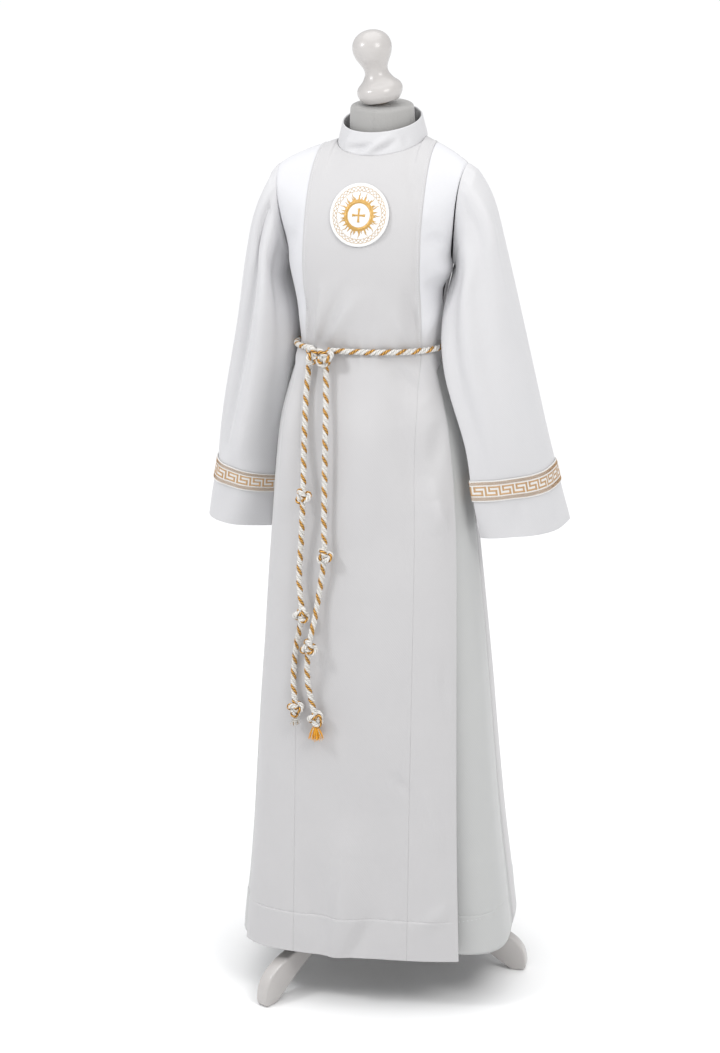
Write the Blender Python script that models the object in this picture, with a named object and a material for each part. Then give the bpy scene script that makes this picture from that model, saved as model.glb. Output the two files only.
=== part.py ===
"""A child's alb robe with a rope cincture, worn by a dress form on a tripod stand.

Metres, +Z up, the garment faces -Y. The wearer's left is +X. Everything is built about the
pole's axis, and the empty "stand" then puts the middle of the outer box over the origin.
"""

import math
from collections import namedtuple

import bmesh
import bpy
import numpy as np

# ---------------------------------------------------------------- driving dimensions
CLOTH = 0.0016  # wall of one cloth layer as worn
COLLAR_CLOTH = 0.0022  # collar: cloth, interlining, cloth
BRAID = 0.0012  # woven braid on the cuffs
BADGE_THICK = 0.0018  # embroidered badge
SEAM = 0.0004  # gap between two pieces at a seam
LIE = 0.0007  # gap under a piece that lies on a panel

HEM_Z = 0.076
WAIST_Z = 0.890
CHEST_Z = 1.000  # level of the underarms
PANEL_HALF = 0.078  # centre front panel, half its width

NECK_X, NECK_Y, NECK_Z = 0.006, 0.024, 1.157  # middle of the neck seam
NECK_HALF_WIDTH = 0.0590
NECK_HALF_DEPTH = 0.0540
NECK_RISE = 0.34  # the seam rises this much for each metre to the back
NECK_LIST = 0.045  # and this much for each metre to the wearer's left
SHOULDER_X, SHOULDER_Y, SHOULDER_Z = 0.1265, 0.000, 1.126
SHOULDER_LIST = 0.0035  # the wearer's left shoulder is higher by twice this

COLLAR_TALL_FRONT, COLLAR_TALL_BACK = 0.0255, 0.0225
COLLAR_TAPER = 0.0065  # the collar's upper edge is this much closer to the neck

BADGE_DIAMETER = 0.078
BADGE_X, BADGE_Z = 0.0000, 1.0665

ROPE = 0.008  # cincture's diameter
ROPE_OFF = 0.0012  # rope clear of the cloth
BELT_SAG = 0.002
KNOT_GAP = 0.0006  # between a knot and the rope that leaves it

SIDE_NAME = {1: "left", -1: "right"}  # the wearer's

LEG_COUNT = 3
LEG_THICK = 0.019
FIRST_LEG = -28.0  # degrees from -Y towards +X
LEG_EDGE = 0.0025  # rounding of a leg's edges
HUB = ((0.052, 0.022), (0.058, 0.030), (0.066, 0.034), (0.122, 0.034), (0.130, 0.028), (0.132, 0.020))
POLE_RADIUS = 0.014

# ---------------------------------------------------------------- sections of the garment
# One row for each level of the body below the underarms: half width on the wearer's left and
# right, depth in front of and behind the middle, squareness (2 is an ellipse), turn in degrees
# about +Z, and the middle's place in Y.
Section = namedtuple("Section", "z left right front back square turn middle_y")
BODY = (
    Section(0.076, 0.2120, 0.1690, 0.146, 0.150, 3.10, 5.0, -0.028),
    Section(0.250, 0.1880, 0.1550, 0.133, 0.140, 2.90, 4.5, -0.022),
    Section(0.450, 0.1665, 0.1470, 0.121, 0.128, 2.70, 4.0, -0.015),
    Section(0.640, 0.1450, 0.1370, 0.108, 0.112, 2.60, 3.0, -0.008),
    Section(0.780, 0.1290, 0.1260, 0.095, 0.098, 2.50, 1.0, -0.003),
    Section(0.850, 0.1070, 0.1090, 0.080, 0.080, 2.40, 0.0, 0.000),
    Section(0.890, 0.0950, 0.0960, 0.072, 0.070, 2.40, 0.0, 0.000),
    Section(0.918, 0.0950, 0.0970, 0.077, 0.074, 2.40, 0.0, 0.000),
    Section(0.950, 0.0965, 0.1005, 0.080, 0.078, 2.40, 0.0, 0.000),
    Section(1.000, 0.1060, 0.1120, 0.082, 0.082, 2.40, 0.0, 0.000),
)

# The knife pleat on each side of the front: distance of its outer fold from the middle on the
# wearer's left and right, and how far the side panel stands in behind that fold.
Pleat = namedtuple("Pleat", "z left right inset")
PLEAT = (
    Pleat(0.076, 0.1480, 0.1480, 0.022),
    Pleat(0.250, 0.1410, 0.1380, 0.018),
    Pleat(0.600, 0.1300, 0.1250, 0.011),
    Pleat(0.715, 0.1240, 0.1180, 0.009),
    Pleat(0.785, 0.1160, 0.1120, 0.007),
    Pleat(0.820, 0.1080, 0.1060, 0.006),
    Pleat(0.865, 0.0950, 0.0960, 0.005),
)
PLEAT_LAYER = 0.0020  # clear space between the two hidden layers of the pleat
PLEAT_TOP = 0.872  # the pleat opens below the belt

# One row for each ring of a sleeve: outer fold, inner fold (both as x, y, z for the wearer's
# left) and half the sleeve's thickness. "blend" is how far the ring has left the armhole.
Ring = namedtuple("Ring", "blend out_x out_y out_z in_x in_y in_z half_thick")
SLEEVE_LEFT = (
    Ring(0.40, 0.1580, 0.002, 1.110, 0.1200, -0.006, 0.992, 0.044),
    Ring(0.80, 0.1660, 0.006, 1.078, 0.1230, -0.016, 0.968, 0.043),
    Ring(1.00, 0.1745, 0.012, 1.024, 0.1240, -0.026, 0.930, 0.040),
    Ring(1.00, 0.1995, 0.027, 0.912, 0.1300, -0.045, 0.862, 0.036),
    Ring(1.00, 0.2260, 0.043, 0.789, 0.1390, -0.058, 0.770, 0.034),
    Ring(1.00, 0.2430, 0.051, 0.720, 0.1480, -0.054, 0.708, 0.034),
    Ring(1.00, 0.2600, 0.058, 0.650, 0.1580, -0.045, 0.643, 0.036),
)
SLEEVE_RIGHT = (
    Ring(0.40, 0.1440, 0.002, 1.104, 0.1180, -0.004, 0.990, 0.044),
    Ring(0.80, 0.1500, 0.004, 1.070, 0.1200, -0.006, 0.966, 0.044),
    Ring(1.00, 0.1590, 0.008, 1.018, 0.1210, -0.006, 0.928, 0.044),
    Ring(1.00, 0.1830, 0.022, 0.905, 0.1250, -0.004, 0.858, 0.044),
    Ring(1.00, 0.2130, 0.036, 0.780, 0.1340, 0.000, 0.744, 0.045),
    Ring(1.00, 0.2270, 0.043, 0.709, 0.1405, 0.003, 0.687, 0.045),
    Ring(1.00, 0.2450, 0.050, 0.636, 0.1465, 0.006, 0.625, 0.046),
)
BRAID_FROM, BRAID_TO = 0.822, 0.876  # the braid's edges, as parts of the sleeve's length

# The dress form: level, half width, front, back, squareness, shift in X and Y, and how far
# the section leans forward, in degrees.
FormSection = namedtuple("FormSection", "z half_width front back square shift_x shift_y lean")
FORM = (
    FormSection(0.700, 0.0900, 0.066, 0.070, 2.2, 0.000, 0.000, 0.0),
    FormSection(0.712, 0.0980, 0.072, 0.078, 2.2, 0.000, 0.000, 0.0),
    FormSection(0.780, 0.1000, 0.074, 0.080, 2.2, 0.000, 0.000, 0.0),
    FormSection(0.840, 0.0900, 0.068, 0.070, 2.2, 0.000, 0.000, 0.0),
    FormSection(0.886, 0.0850, 0.064, 0.062, 2.2, 0.000, 0.000, 0.0),
    FormSection(0.940, 0.0860, 0.069, 0.067, 2.2, 0.000, 0.000, 0.0),
    FormSection(1.000, 0.0970, 0.071, 0.070, 2.2, 0.000, 0.000, 0.0),
    FormSection(1.050, 0.0990, 0.062, 0.068, 2.2, 0.001, 0.002, 0.0),
    FormSection(1.085, 0.1000, 0.048, 0.058, 2.2, 0.002, 0.004, 0.0),
    FormSection(1.108, 0.0960, 0.033, 0.044, 2.2, 0.002, 0.008, 1.0),
    FormSection(1.124, 0.0790, 0.028, 0.038, 2.1, 0.003, 0.014, 2.0),
    FormSection(1.136, 0.0590, 0.030, 0.038, 2.0, 0.004, 0.019, 4.0),
    FormSection(1.148, 0.0480, 0.036, 0.040, 2.0, 0.005, 0.022, 6.0),
    FormSection(1.160, 0.0440, 0.039, 0.041, 2.0, 0.006, 0.024, 7.0),
    FormSection(1.182, 0.0425, 0.039, 0.040, 2.0, 0.006, 0.023, 8.0),
    FormSection(1.1955, 0.0410, 0.039, 0.039, 2.0, 0.006, 0.022, 8.0),
    FormSection(1.2000, 0.0380, 0.036, 0.036, 2.0, 0.006, 0.0215, 8.0),
)

# The finial's turned outline: height above its own base and radius.
FINIAL = (
    (0.0000, 0.0235),
    (0.0025, 0.0255),
    (0.0080, 0.0288),
    (0.0140, 0.0298),
    (0.0200, 0.0275),
    (0.0270, 0.0205),
    (0.0350, 0.0158),
    (0.0420, 0.0155),
    (0.0500, 0.0190),
    (0.0580, 0.0232),
    (0.0670, 0.0255),
    (0.0760, 0.0244),
    (0.0840, 0.0195),
    (0.0890, 0.0120),
    (0.0910, 0.0050),
)
FINIAL_LEAN = 9.0  # it sits loosely and leans to -X
FINIAL_OFF = (0.0005, -0.0040, 0.0048)  # its base's middle from the middle of the neck's top
PEG_RADIUS, PEG_LENGTH = 0.0090, 0.0030

# A leg's outline: distance from the pole's axis and height.
LEG = (
    (0.0345, 0.064),
    (0.0900, 0.060),
    (0.1250, 0.050),
    (0.1500, 0.037),
    (0.1700, 0.023),
    (0.1880, 0.010),
    (0.2000, 0.002),
    (0.2060, 0.000),
    (0.2180, 0.000),
    (0.2225, 0.003),
    (0.2238, 0.011),
    (0.2205, 0.0285),
    (0.2100, 0.043),
    (0.1920, 0.0545),
    (0.1700, 0.0620),
    (0.1400, 0.0680),
    (0.1000, 0.0800),
    (0.0650, 0.0980),
    (0.0345, 0.118),
)

# The two hanging ends of the cincture: the rope's route, by hand, from the belt's knot down.
# Each "knot" point is the middle of an overhand knot tied in the rope.
CORD_RIGHT_SIDE = (
    ("rope", -0.0680, -0.0725, 0.8680),
    ("rope", -0.0690, -0.0810, 0.8345),
    ("rope", -0.0676, -0.0930, 0.7998),
    ("rope", -0.0661, -0.1040, 0.7554),
    ("knot", -0.0635, -0.1184, 0.7025),
    ("rope", -0.0657, -0.1205, 0.6443),
    ("rope", -0.0670, -0.1270, 0.5938),
    ("knot", -0.0607, -0.1386, 0.5468),
    ("rope", -0.0696, -0.1356, 0.4991),
    ("rope", -0.0719, -0.1408, 0.4557),
    ("knot", -0.0661, -0.1512, 0.4190),
)
CORD_LEFT_SIDE = (
    ("rope", -0.0425, -0.0800, 0.8700),
    ("rope", -0.0403, -0.0885, 0.8377),
    ("rope", -0.0369, -0.1036, 0.7907),
    ("rope", -0.0350, -0.1151, 0.7265),
    ("rope", -0.0337, -0.1232, 0.6679),
    ("knot", -0.0310, -0.1321, 0.6275),
    ("rope", -0.0365, -0.1320, 0.5880),
    ("rope", -0.0418, -0.1385, 0.5481),
    ("knot", -0.0475, -0.1519, 0.5065),
    ("rope", -0.0499, -0.1500, 0.4635),
    ("rope", -0.0445, -0.1505, 0.4333),
    ("knot", -0.0371, -0.1545, 0.4088),
)
KNOT_WIDTH, KNOT_HEIGHT = 0.0215, 0.0235
BELT_KNOT = (-0.0506, -0.0805, 0.8840)
BELT_KNOT_SIZE = (0.0310, 0.0240, 0.0240)
TAIL_LENGTH, TASSEL_LENGTH = 0.012, 0.024

# Name: colour, roughness, metallic.
MATERIALS = {
    "alb_cloth": ((0.80, 0.82, 0.84), 0.62, 0.0),
    "braid": ((0.72, 0.58, 0.34), 0.50, 0.2),
    "badge": ((0.86, 0.82, 0.72), 0.60, 0.0),
    "rope": ((0.82, 0.72, 0.50), 0.55, 0.1),
    "tassel": ((0.85, 0.50, 0.08), 0.70, 0.0),
    "jersey": ((0.45, 0.46, 0.45), 0.90, 0.0),
    "painted_wood": ((0.84, 0.82, 0.80), 0.35, 0.0),
}


# ---------------------------------------------------------------- numbers
def smooth(rows, key, at, column):
    """The column's value where the rows' key is "at", on a smooth curve through the rows."""
    keys = [getattr(row, key) for row in rows]
    values = [getattr(row, column) for row in rows]
    if at <= keys[0]:
        return values[0]
    if at >= keys[-1]:
        return values[-1]
    i = max(k for k in range(len(keys) - 1) if keys[k] <= at)
    step = keys[i + 1] - keys[i]
    part = (at - keys[i]) / step

    def slope(k):
        low, high = max(k - 1, 0), min(k + 1, len(keys) - 1)
        return (values[high] - values[low]) / (keys[high] - keys[low])

    a, b = values[i], values[i + 1]
    rise_a, rise_b = slope(i) * step, slope(i + 1) * step
    return (
        a * (1 + 2 * part) * (1 - part) ** 2
        + rise_a * part * (1 - part) ** 2
        + b * part**2 * (3 - 2 * part)
        + rise_b * part**2 * (part - 1)
    )


def spline(points, count):
    """count points evenly spaced along a smooth curve through the points."""
    points = np.array(points, float)
    padded = np.vstack([2 * points[0] - points[1], points, 2 * points[-1] - points[-2]])
    dense = []
    for i in range(len(points) - 1):
        a, b, c, d = padded[i : i + 4]
        for t in np.arange(16) / 16:
            dense.append(
                0.5 * (2 * b + (c - a) * t + (2 * a - 5 * b + 4 * c - d) * t**2
                       + (3 * b - a - 3 * c + d) * t**3)
            )
    dense = np.array(dense + [points[-1]])
    along = np.concatenate([[0], np.cumsum(np.linalg.norm(np.diff(dense, axis=0), axis=1))])
    wanted = np.linspace(0, along[-1], count)
    return np.stack([np.interp(wanted, along, dense[:, k]) for k in range(dense.shape[1])], axis=1)


# ---------------------------------------------------------------- the body's surface
def body_section(z):
    return Section(z, *(smooth(BODY, "z", z, name) for name in Section._fields[1:]))


def angle_at(z, across):
    """The angle on the section at z whose point is "across" from the middle. 0 is the front."""
    row = body_section(z)
    share = min(abs(across) / (row.left if across > 0 else row.right), 1.0)
    return math.copysign(math.asin(share ** (row.square / 2)), across)


def seam_angle(z, back=False):
    """The side seam's angle, from the front or the back, less half a seam's gap."""
    row = body_section(z)
    depth = row.back if back else row.front
    return math.acos((SEAM / 2 / depth) ** (row.square / 2))


def body_point(z, angle, inset=0.0):
    """A point of the cloth's outer face, or inset from it, at this level and angle."""
    row = body_section(z)
    sine, cosine = math.sin(angle), math.cos(angle)
    width = row.left if sine > 0 else row.right
    depth = row.front if cosine > 0 else row.back
    x = math.copysign(width * abs(sine) ** (2 / row.square), sine)
    y = -math.copysign(depth * abs(cosine) ** (2 / row.square), cosine)
    normal_x = math.copysign((abs(x) / width) ** (row.square - 1) / width, x)
    normal_y = math.copysign((abs(y) / depth) ** (row.square - 1) / depth, y)
    length = math.hypot(normal_x, normal_y)
    x -= inset * normal_x / length
    y -= inset * normal_y / length
    turn = math.radians(row.turn)
    return (
        x * math.cos(turn) - y * math.sin(turn),
        row.middle_y + x * math.sin(turn) + y * math.cos(turn),
        z,
    )


# ---------------------------------------------------------------- the yoke's surface
PANEL_SHARE = 0.60  # part of the front's half that the centre panel takes
NECK_SHARE = 0.46  # part of the half that the neckline takes
ARCH_MIDDLE, ARCH_SIDE = 56.0, 30.0  # degrees of the arch from chest to top edge, and its growth to the side
BULGE_FRONT, BULGE_BACK = -0.032, 0.036  # how far the armholes' edges stand out over the shoulder joint
BULGE_FROM = 0.45


def neck_height(across, y):
    """The neck seam's level at this distance from its middle."""
    return NECK_Z + (y - NECK_Y) * NECK_RISE + across * NECK_LIST


def shoulder_seam(side, part):
    """The shoulder seam from the neck (0) to the shoulder point (1)."""
    x = NECK_X + side * NECK_HALF_WIDTH
    high = NECK_Z + side * NECK_HALF_WIDTH * NECK_LIST
    low = SHOULDER_Z + side * SHOULDER_LIST
    return (
        x + (side * SHOULDER_X - x) * part,
        NECK_Y + (SHOULDER_Y - NECK_Y) * part,
        high - (high - low) * (0.80 * part + 0.20 * part**4),
    )


def top_point(share, back):
    """The yoke's upper edge: the neckline, then the shoulder seam. share runs from -1 to 1."""
    side = math.copysign(1, share)
    if abs(share) > NECK_SHARE:
        return shoulder_seam(side, (abs(share) - NECK_SHARE) / (1 - NECK_SHARE))
    angle = share / NECK_SHARE * math.pi / 2
    depth = NECK_HALF_DEPTH * math.cos(angle)
    y = NECK_Y + (depth if back else -depth)
    return (NECK_X + NECK_HALF_WIDTH * math.sin(angle), y, neck_height(NECK_HALF_WIDTH * math.sin(angle), y))


def yoke_point(share, rise, back=False):
    """The cloth above the underarms. share is -1 to 1 across, rise is 0 to 1 up to the top edge."""
    if abs(share) <= PANEL_SHARE:
        low = angle_at(CHEST_Z, share / PANEL_SHARE * PANEL_HALF)
    else:
        edge = angle_at(CHEST_Z, PANEL_HALF)
        part = (abs(share) - PANEL_SHARE) / (1 - PANEL_SHARE)
        low = math.copysign(edge + (math.pi / 2 - edge) * part, share)
    low_x, low_y, low_z = body_point(CHEST_Z, math.pi - low if back else low)
    top_x, top_y, top_z = top_point(share, back)
    arch = math.radians(ARCH_MIDDLE + ARCH_SIDE * min(abs(share) / NECK_SHARE, 1) ** 2)
    over = (1 - math.cos(arch * rise)) / (1 - math.cos(arch))
    up = math.sin(arch * rise) / math.sin(arch)
    bow = math.sin(math.pi * rise) * max(0.0, (abs(share) - BULGE_FROM) / (1 - BULGE_FROM)) ** 2
    bulge = (BULGE_BACK if back else BULGE_FRONT) * bow
    x = low_x + (top_x - low_x) * rise + math.copysign(0.002 * bow, share)
    return (x, low_y + (top_y - low_y) * over + bulge, low_z + (top_z - low_z) * up)


def front_at(x, z, off=0.0):
    """The point of the front at this x and z, moved out by off."""
    if z <= CHEST_Z:
        return body_point(z, angle_at(z, x), -off)
    share, rise = x / PANEL_HALF * PANEL_SHARE, 0.4
    for _ in range(30):
        found = yoke_point(share, rise)
        share += (x - found[0]) * PANEL_SHARE / PANEL_HALF * 0.8
        rise = min(max(rise + (z - found[2]) / 0.18, 0.0), 1.0)
    here = np.array(yoke_point(share, rise))
    across = np.array(yoke_point(share + 0.02, rise)) - here
    upward = np.array(yoke_point(share, min(rise + 0.02, 1.0))) - here
    normal = np.cross(across, upward)
    return tuple(here + normal / np.linalg.norm(normal) * off)


# ---------------------------------------------------------------- the sleeves' surface
SLEEVE_HEAD = 0.10  # part of the sleeve's length that runs from the armhole to the first ring
ARMHOLE_GAP = 0.0012
Keyed = namedtuple("Keyed", ("along",) + Ring._fields)


def sleeve_frame(side, along):
    """Blend, middle, outward half axis and forward half axis of the sleeve at 0 to 1 along it."""
    table = SLEEVE_LEFT if side > 0 else SLEEVE_RIGHT
    keyed = [Keyed(i / (len(table) - 1), *row) for i, row in enumerate(table)]
    row = {name: smooth(keyed, "along", along, name) for name in Ring._fields}
    outer = np.array([side * row["out_x"], row["out_y"], row["out_z"]])
    inner = np.array([side * row["in_x"], row["in_y"], row["in_z"]])
    half = (outer - inner) / 2
    flat = np.array([half[0], half[1], 0.0]) / math.hypot(half[0], half[1])
    forward = np.array([flat[1], -flat[0], 0.0]) * side * row["half_thick"]
    return row["blend"], (outer + inner) / 2, half, forward


def armhole_point(side, angle):
    """The armhole from the shoulder point (0) by the front and the underarm to the back."""
    turn = (angle / math.pi) % 2
    if turn <= 1:
        return np.array(yoke_point(side, 1 - turn))
    return np.array(yoke_point(side, turn - 1, back=True))


def sleeve_point(side, along, angle, off=0.0):
    """along is 0 at the armhole and 1 at the cuff's edge; angle is 0 at the sleeve's outer fold."""
    past_head = max(0.0, (along - SLEEVE_HEAD) / (1 - SLEEVE_HEAD))
    blend, middle, half, forward = sleeve_frame(side, past_head)
    ring = middle + half * math.cos(angle) + forward * math.sin(angle)
    if blend >= 1:
        point = ring
    else:
        hole = armhole_point(side, angle) + np.array([side * ARMHOLE_GAP, 0, 0])
        if along < SLEEVE_HEAD:
            blend *= along / SLEEVE_HEAD
        point = hole * (1 - blend) + ring * blend
    if off:
        outward = half * math.cos(angle) / (half @ half) + forward * math.sin(angle) / (forward @ forward)
        point = point + off * outward / np.linalg.norm(outward)
    return point


# ---------------------------------------------------------------- Blender objects
def clear_scene():
    for thing in list(bpy.data.objects):
        bpy.data.objects.remove(thing)


def new_stand():
    """The empty that everything is parented to."""
    empty = bpy.data.objects.new("stand", None)
    bpy.context.scene.collection.objects.link(empty)
    return empty


clear_scene()
STAND = new_stand()


def material(name):
    made = bpy.data.materials.get(name)
    if made:
        return made
    colour, roughness, metallic = MATERIALS[name]
    made = bpy.data.materials.new(name)
    made.use_nodes = True
    shader = made.node_tree.nodes["Principled BSDF"]
    shader.inputs["Base Color"].default_value = (*colour, 1)
    shader.inputs["Roughness"].default_value = roughness
    shader.inputs["Metallic"].default_value = metallic
    return made


def add(name, data, finish):
    """An object of this mesh or curve, with its own copy of the finish, on the stand."""
    thing = bpy.data.objects.new(name, data)
    bpy.context.scene.collection.objects.link(thing)
    own = material(finish).copy()
    own.name = f"{name}_{finish}"
    data.materials.append(own)
    thing.parent = STAND
    return thing


def mesh_of(name, points, faces):
    mesh = bpy.data.meshes.new(name)
    mesh.from_pydata([tuple(float(v) for v in point) for point in points], [], faces)
    mesh.validate()
    mesh.shade_smooth()
    return mesh


def facing_out(mesh):
    work = bmesh.new()
    work.from_mesh(mesh)
    bmesh.ops.recalc_face_normals(work, faces=work.faces)
    work.to_mesh(mesh)
    work.free()
    return mesh


def thicken(thing, thick):
    """Makes the mesh's faces the outer side of a wall."""
    wall = thing.modifiers.new("Wall", "SOLIDIFY")
    wall.thickness = thick
    wall.offset = -1


def sheet(name, rows, finish, thick, ring=False):
    """A cloth wall inside the grid of outer-face points. Rows go up, points go round to +X."""
    count = len(rows[0])
    faces = []
    for j in range(len(rows) - 1):
        for i in range(count if ring else count - 1):
            k = (i + 1) % count
            faces.append((j * count + i, j * count + k, (j + 1) * count + k, (j + 1) * count + i))
    thicken(add(name, mesh_of(name, [point for row in rows for point in row], faces), finish), thick)


def loft(name, rings, finish):
    """A closed solid through rings of equal count, with flat ends."""
    count = len(rings[0])
    faces = [tuple(range(count)), tuple(range((len(rings) - 1) * count, len(rings) * count))]
    for j in range(len(rings) - 1):
        for i in range(count):
            k = (i + 1) % count
            faces.append((j * count + i, j * count + k, (j + 1) * count + k, (j + 1) * count + i))
    mesh = facing_out(mesh_of(name, [point for ring in rings for point in ring], faces))
    mesh.set_sharp_from_angle(angle=math.radians(40))
    return add(name, mesh, finish)


def turned(name, profile, segments, finish):
    """A solid turned about its own Z from (height, radius) pairs."""
    rings = [
        [(radius * math.cos(a), radius * math.sin(a), height)
         for a in np.arange(segments) * 2 * math.pi / segments]
        for height, radius in profile
    ]
    return loft(name, rings, finish)


def tube(name, route, radius, finish, resolution=2):
    """A rope's plain solid: a bevelled curve with filled caps."""
    curve = bpy.data.curves.new(name, "CURVE")
    curve.dimensions = "3D"
    line = curve.splines.new("POLY")
    line.points.add(len(route) - 1)
    for point, place in zip(line.points, route):
        point.co = (*(float(v) for v in place), 1)
    curve.bevel_depth = radius
    curve.bevel_resolution = resolution
    curve.use_fill_caps = True
    return add(name, curve, finish)


# ---------------------------------------------------------------- front, back and sides
def levels(low, high, step):
    return list(np.linspace(low, high, max(2, round((high - low) / step) + 1)))


YOKE_RISES = [0.14, 0.28, 0.42, 0.56, 0.70, 0.82, 0.92, 1.0]
BODY_LEVELS = levels(HEM_Z, 0.62, 0.14) + levels(0.72, 0.84, 0.06) + [0.865, WAIST_Z, 0.912, 0.937, 0.965, CHEST_Z]


def trimmed(rise):
    """The yoke stops half a seam's gap short of its upper edge."""
    return rise if rise < 1 else 0.995


def front_centre():
    columns = np.linspace(-1, 1, 15)
    edge = 1 - SEAM / 2 / PANEL_HALF
    rows = []
    for z in BODY_LEVELS:
        rows.append([body_point(z, angle_at(z, c * edge * PANEL_HALF)) for c in columns])
    for rise in YOKE_RISES:
        rows.append([yoke_point(c * edge * PANEL_SHARE, trimmed(rise)) for c in columns])
    sheet("front_centre", rows, "alb_cloth", CLOTH)


def front_side(side):
    """From the panel's seam to the armhole, the side seam and, below the belt, the pleat's fold."""
    columns = np.linspace(0, 1, 8)
    if side < 0:
        columns = columns[::-1]
    rows = []
    for z in BODY_LEVELS:
        start = abs(angle_at(z, side * (PANEL_HALF + SEAM / 2)))
        seam = seam_angle(z)
        end = min(abs(angle_at(z, side * smooth(PLEAT, "z", z, SIDE_NAME[side]))), seam)
        if z > PLEAT_TOP:
            end = seam
        rows.append([body_point(z, side * (start + (end - start) * c)) for c in columns])
    for rise in YOKE_RISES:
        start = PANEL_SHARE * (1 + SEAM / 2 / PANEL_HALF)
        shares = [start + (1 - 0.003 - start) * c for c in columns]
        rows.append([yoke_point(side * share, trimmed(rise)) for share in shares])
    sheet(f"front_side_{SIDE_NAME[side]}", rows, "alb_cloth", CLOTH)


def side_panel(side):
    """The pleat's two hidden layers and the side panel behind its fold, from hem to belt."""
    rows = []
    for z in levels(HEM_Z + 0.001, 0.60, 0.14) + [0.70, 0.78, 0.82, 0.85, PLEAT_TOP - 0.003]:
        fold = smooth(PLEAT, "z", z, SIDE_NAME[side]) - 0.002
        inset = smooth(PLEAT, "z", z, "inset")
        inner = PANEL_HALF - 0.012
        outward = 2 * CLOTH + SEAM + 0.0012  # the returning layer, whose grid is its inner face
        behind = outward + PLEAT_LAYER
        at_fold, at_inner, at_turn = (abs(angle_at(z, side * x)) for x in (fold, inner, inner - 0.0015))
        route = [(at_fold, outward), ((at_fold + at_inner) / 2, outward), (at_inner, outward)]
        route += [(at_turn, (outward + behind) / 2), (at_inner, behind)]
        route += [((at_fold + at_inner) / 2, (behind + inset) / 2), (at_fold, max(inset, behind))]
        seam = seam_angle(z)
        for part in (0.15, 0.3, 0.5, 0.7, 0.85, 1.0):
            depth = max(inset, behind) * (1 - part) ** 1.5
            route.append((at_fold + (seam - at_fold) * part, depth))
        points = [body_point(z, side * angle, depth) for angle, depth in route]
        rows.append(points if side > 0 else points[::-1])
    sheet(f"side_panel_{SIDE_NAME[side]}", rows, "alb_cloth", CLOTH)


def back():
    columns = np.linspace(-1, 1, 23)
    rows = []
    for z in BODY_LEVELS:
        rows.append([body_point(z, math.pi + c * seam_angle(z, back=True)) for c in columns])
    for rise in YOKE_RISES:
        row = []
        for c in columns:
            share = -c * 0.997
            row.append(yoke_point(share, trimmed(rise), back=True))
        rows.append(row)
    sheet("back", rows, "alb_cloth", CLOTH)


# ---------------------------------------------------------------- collar, sleeves, trims
def collar():
    """A standing band on the neck seam, a little closer at its upper edge."""
    rows = []
    for part in (0.0, 0.25, 0.5, 0.75, 1.0):
        row = []
        for angle in np.arange(36) * 2 * math.pi / 36:
            back_share = (1 - math.cos(angle)) / 2  # 0 in front, 1 at the back
            tall = COLLAR_TALL_FRONT + (COLLAR_TALL_BACK - COLLAR_TALL_FRONT) * back_share
            closer = 2 * SEAM + COLLAR_TAPER * part
            across = (NECK_HALF_WIDTH - closer) * math.sin(angle)
            y = NECK_Y - (NECK_HALF_DEPTH - closer) * math.cos(angle)
            row.append((NECK_X + across, y, neck_height(across, y) + 0.0012 + tall * part))
        rows.append(row)
    sheet("collar", rows, "alb_cloth", COLLAR_CLOTH, ring=True)


SLEEVE_ANGLES = np.arange(28) * 2 * math.pi / 28
SLEEVE_STATIONS = [0.0, 0.04, 0.10, 0.16, 0.22, 0.30, 0.40, 0.52, 0.64, 0.76, 0.88, 1.0]


def round_arm(side, along, off=0.0):
    """One ring of a sleeve, ordered so that its faces look out."""
    ring = [sleeve_point(side, along, angle, off) for angle in SLEEVE_ANGLES]
    return ring[::-1] if side < 0 else ring


def sleeve(side):
    rows = [round_arm(side, along) for along in reversed(SLEEVE_STATIONS)]
    rows = [row[::-1] for row in rows]
    sheet(f"sleeve_{SIDE_NAME[side]}", rows, "alb_cloth", CLOTH, ring=True)


def braid(side):
    stations = np.linspace(BRAID_TO, BRAID_FROM, 4)
    rows = [round_arm(side, along, LIE + BRAID)[::-1] for along in stations]
    sheet(f"braid_{SIDE_NAME[side]}", rows, "braid", BRAID, ring=True)


def badge():
    """A round badge bent to the chest."""
    radii = [0.0, 0.45, 0.75, 1.0]
    rows = []
    for part in reversed(radii):
        row = []
        for angle in np.arange(24) * 2 * math.pi / 24:
            reach = part * BADGE_DIAMETER / 2
            x = BADGE_X + reach * math.cos(angle)
            z = BADGE_Z + reach * math.sin(angle)
            row.append(front_at(x, z, LIE + BADGE_THICK))
        rows.append(row)
    centre = front_at(BADGE_X, BADGE_Z, LIE + BADGE_THICK)
    rows.pop()
    count = len(rows[0])
    points = [point for row in rows for point in row] + [centre]
    faces = []
    for j in range(len(rows) - 1):
        for i in range(count):
            k = (i + 1) % count
            faces.append((j * count + i, j * count + k, (j + 1) * count + k, (j + 1) * count + i))
    last = (len(rows) - 1) * count
    for i in range(count):
        faces.append((last + i, last + (i + 1) % count, len(points) - 1))
    thicken(add("badge", mesh_of("badge", points, faces), "badge"), BADGE_THICK)


# ---------------------------------------------------------------- cincture
def belt_rope():
    """Once round the waist, from one side of the knot to the other."""
    beside = BELT_KNOT_SIZE[0] / 2 + 0.001
    start = angle_at(WAIST_Z, BELT_KNOT[0] + beside)
    end = angle_at(WAIST_Z, BELT_KNOT[0] - beside) + 2 * math.pi
    route = []
    for part in np.linspace(0, 1, 49):
        angle = start + (end - start) * part
        sag = BELT_SAG * math.sin(2 * math.pi * part)
        x, y, z = body_point(WAIST_Z, angle, -(ROPE / 2 + ROPE_OFF))
        route.append((x, y, z + sag))
    tube("belt_rope", route, ROPE / 2, "rope")


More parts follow.
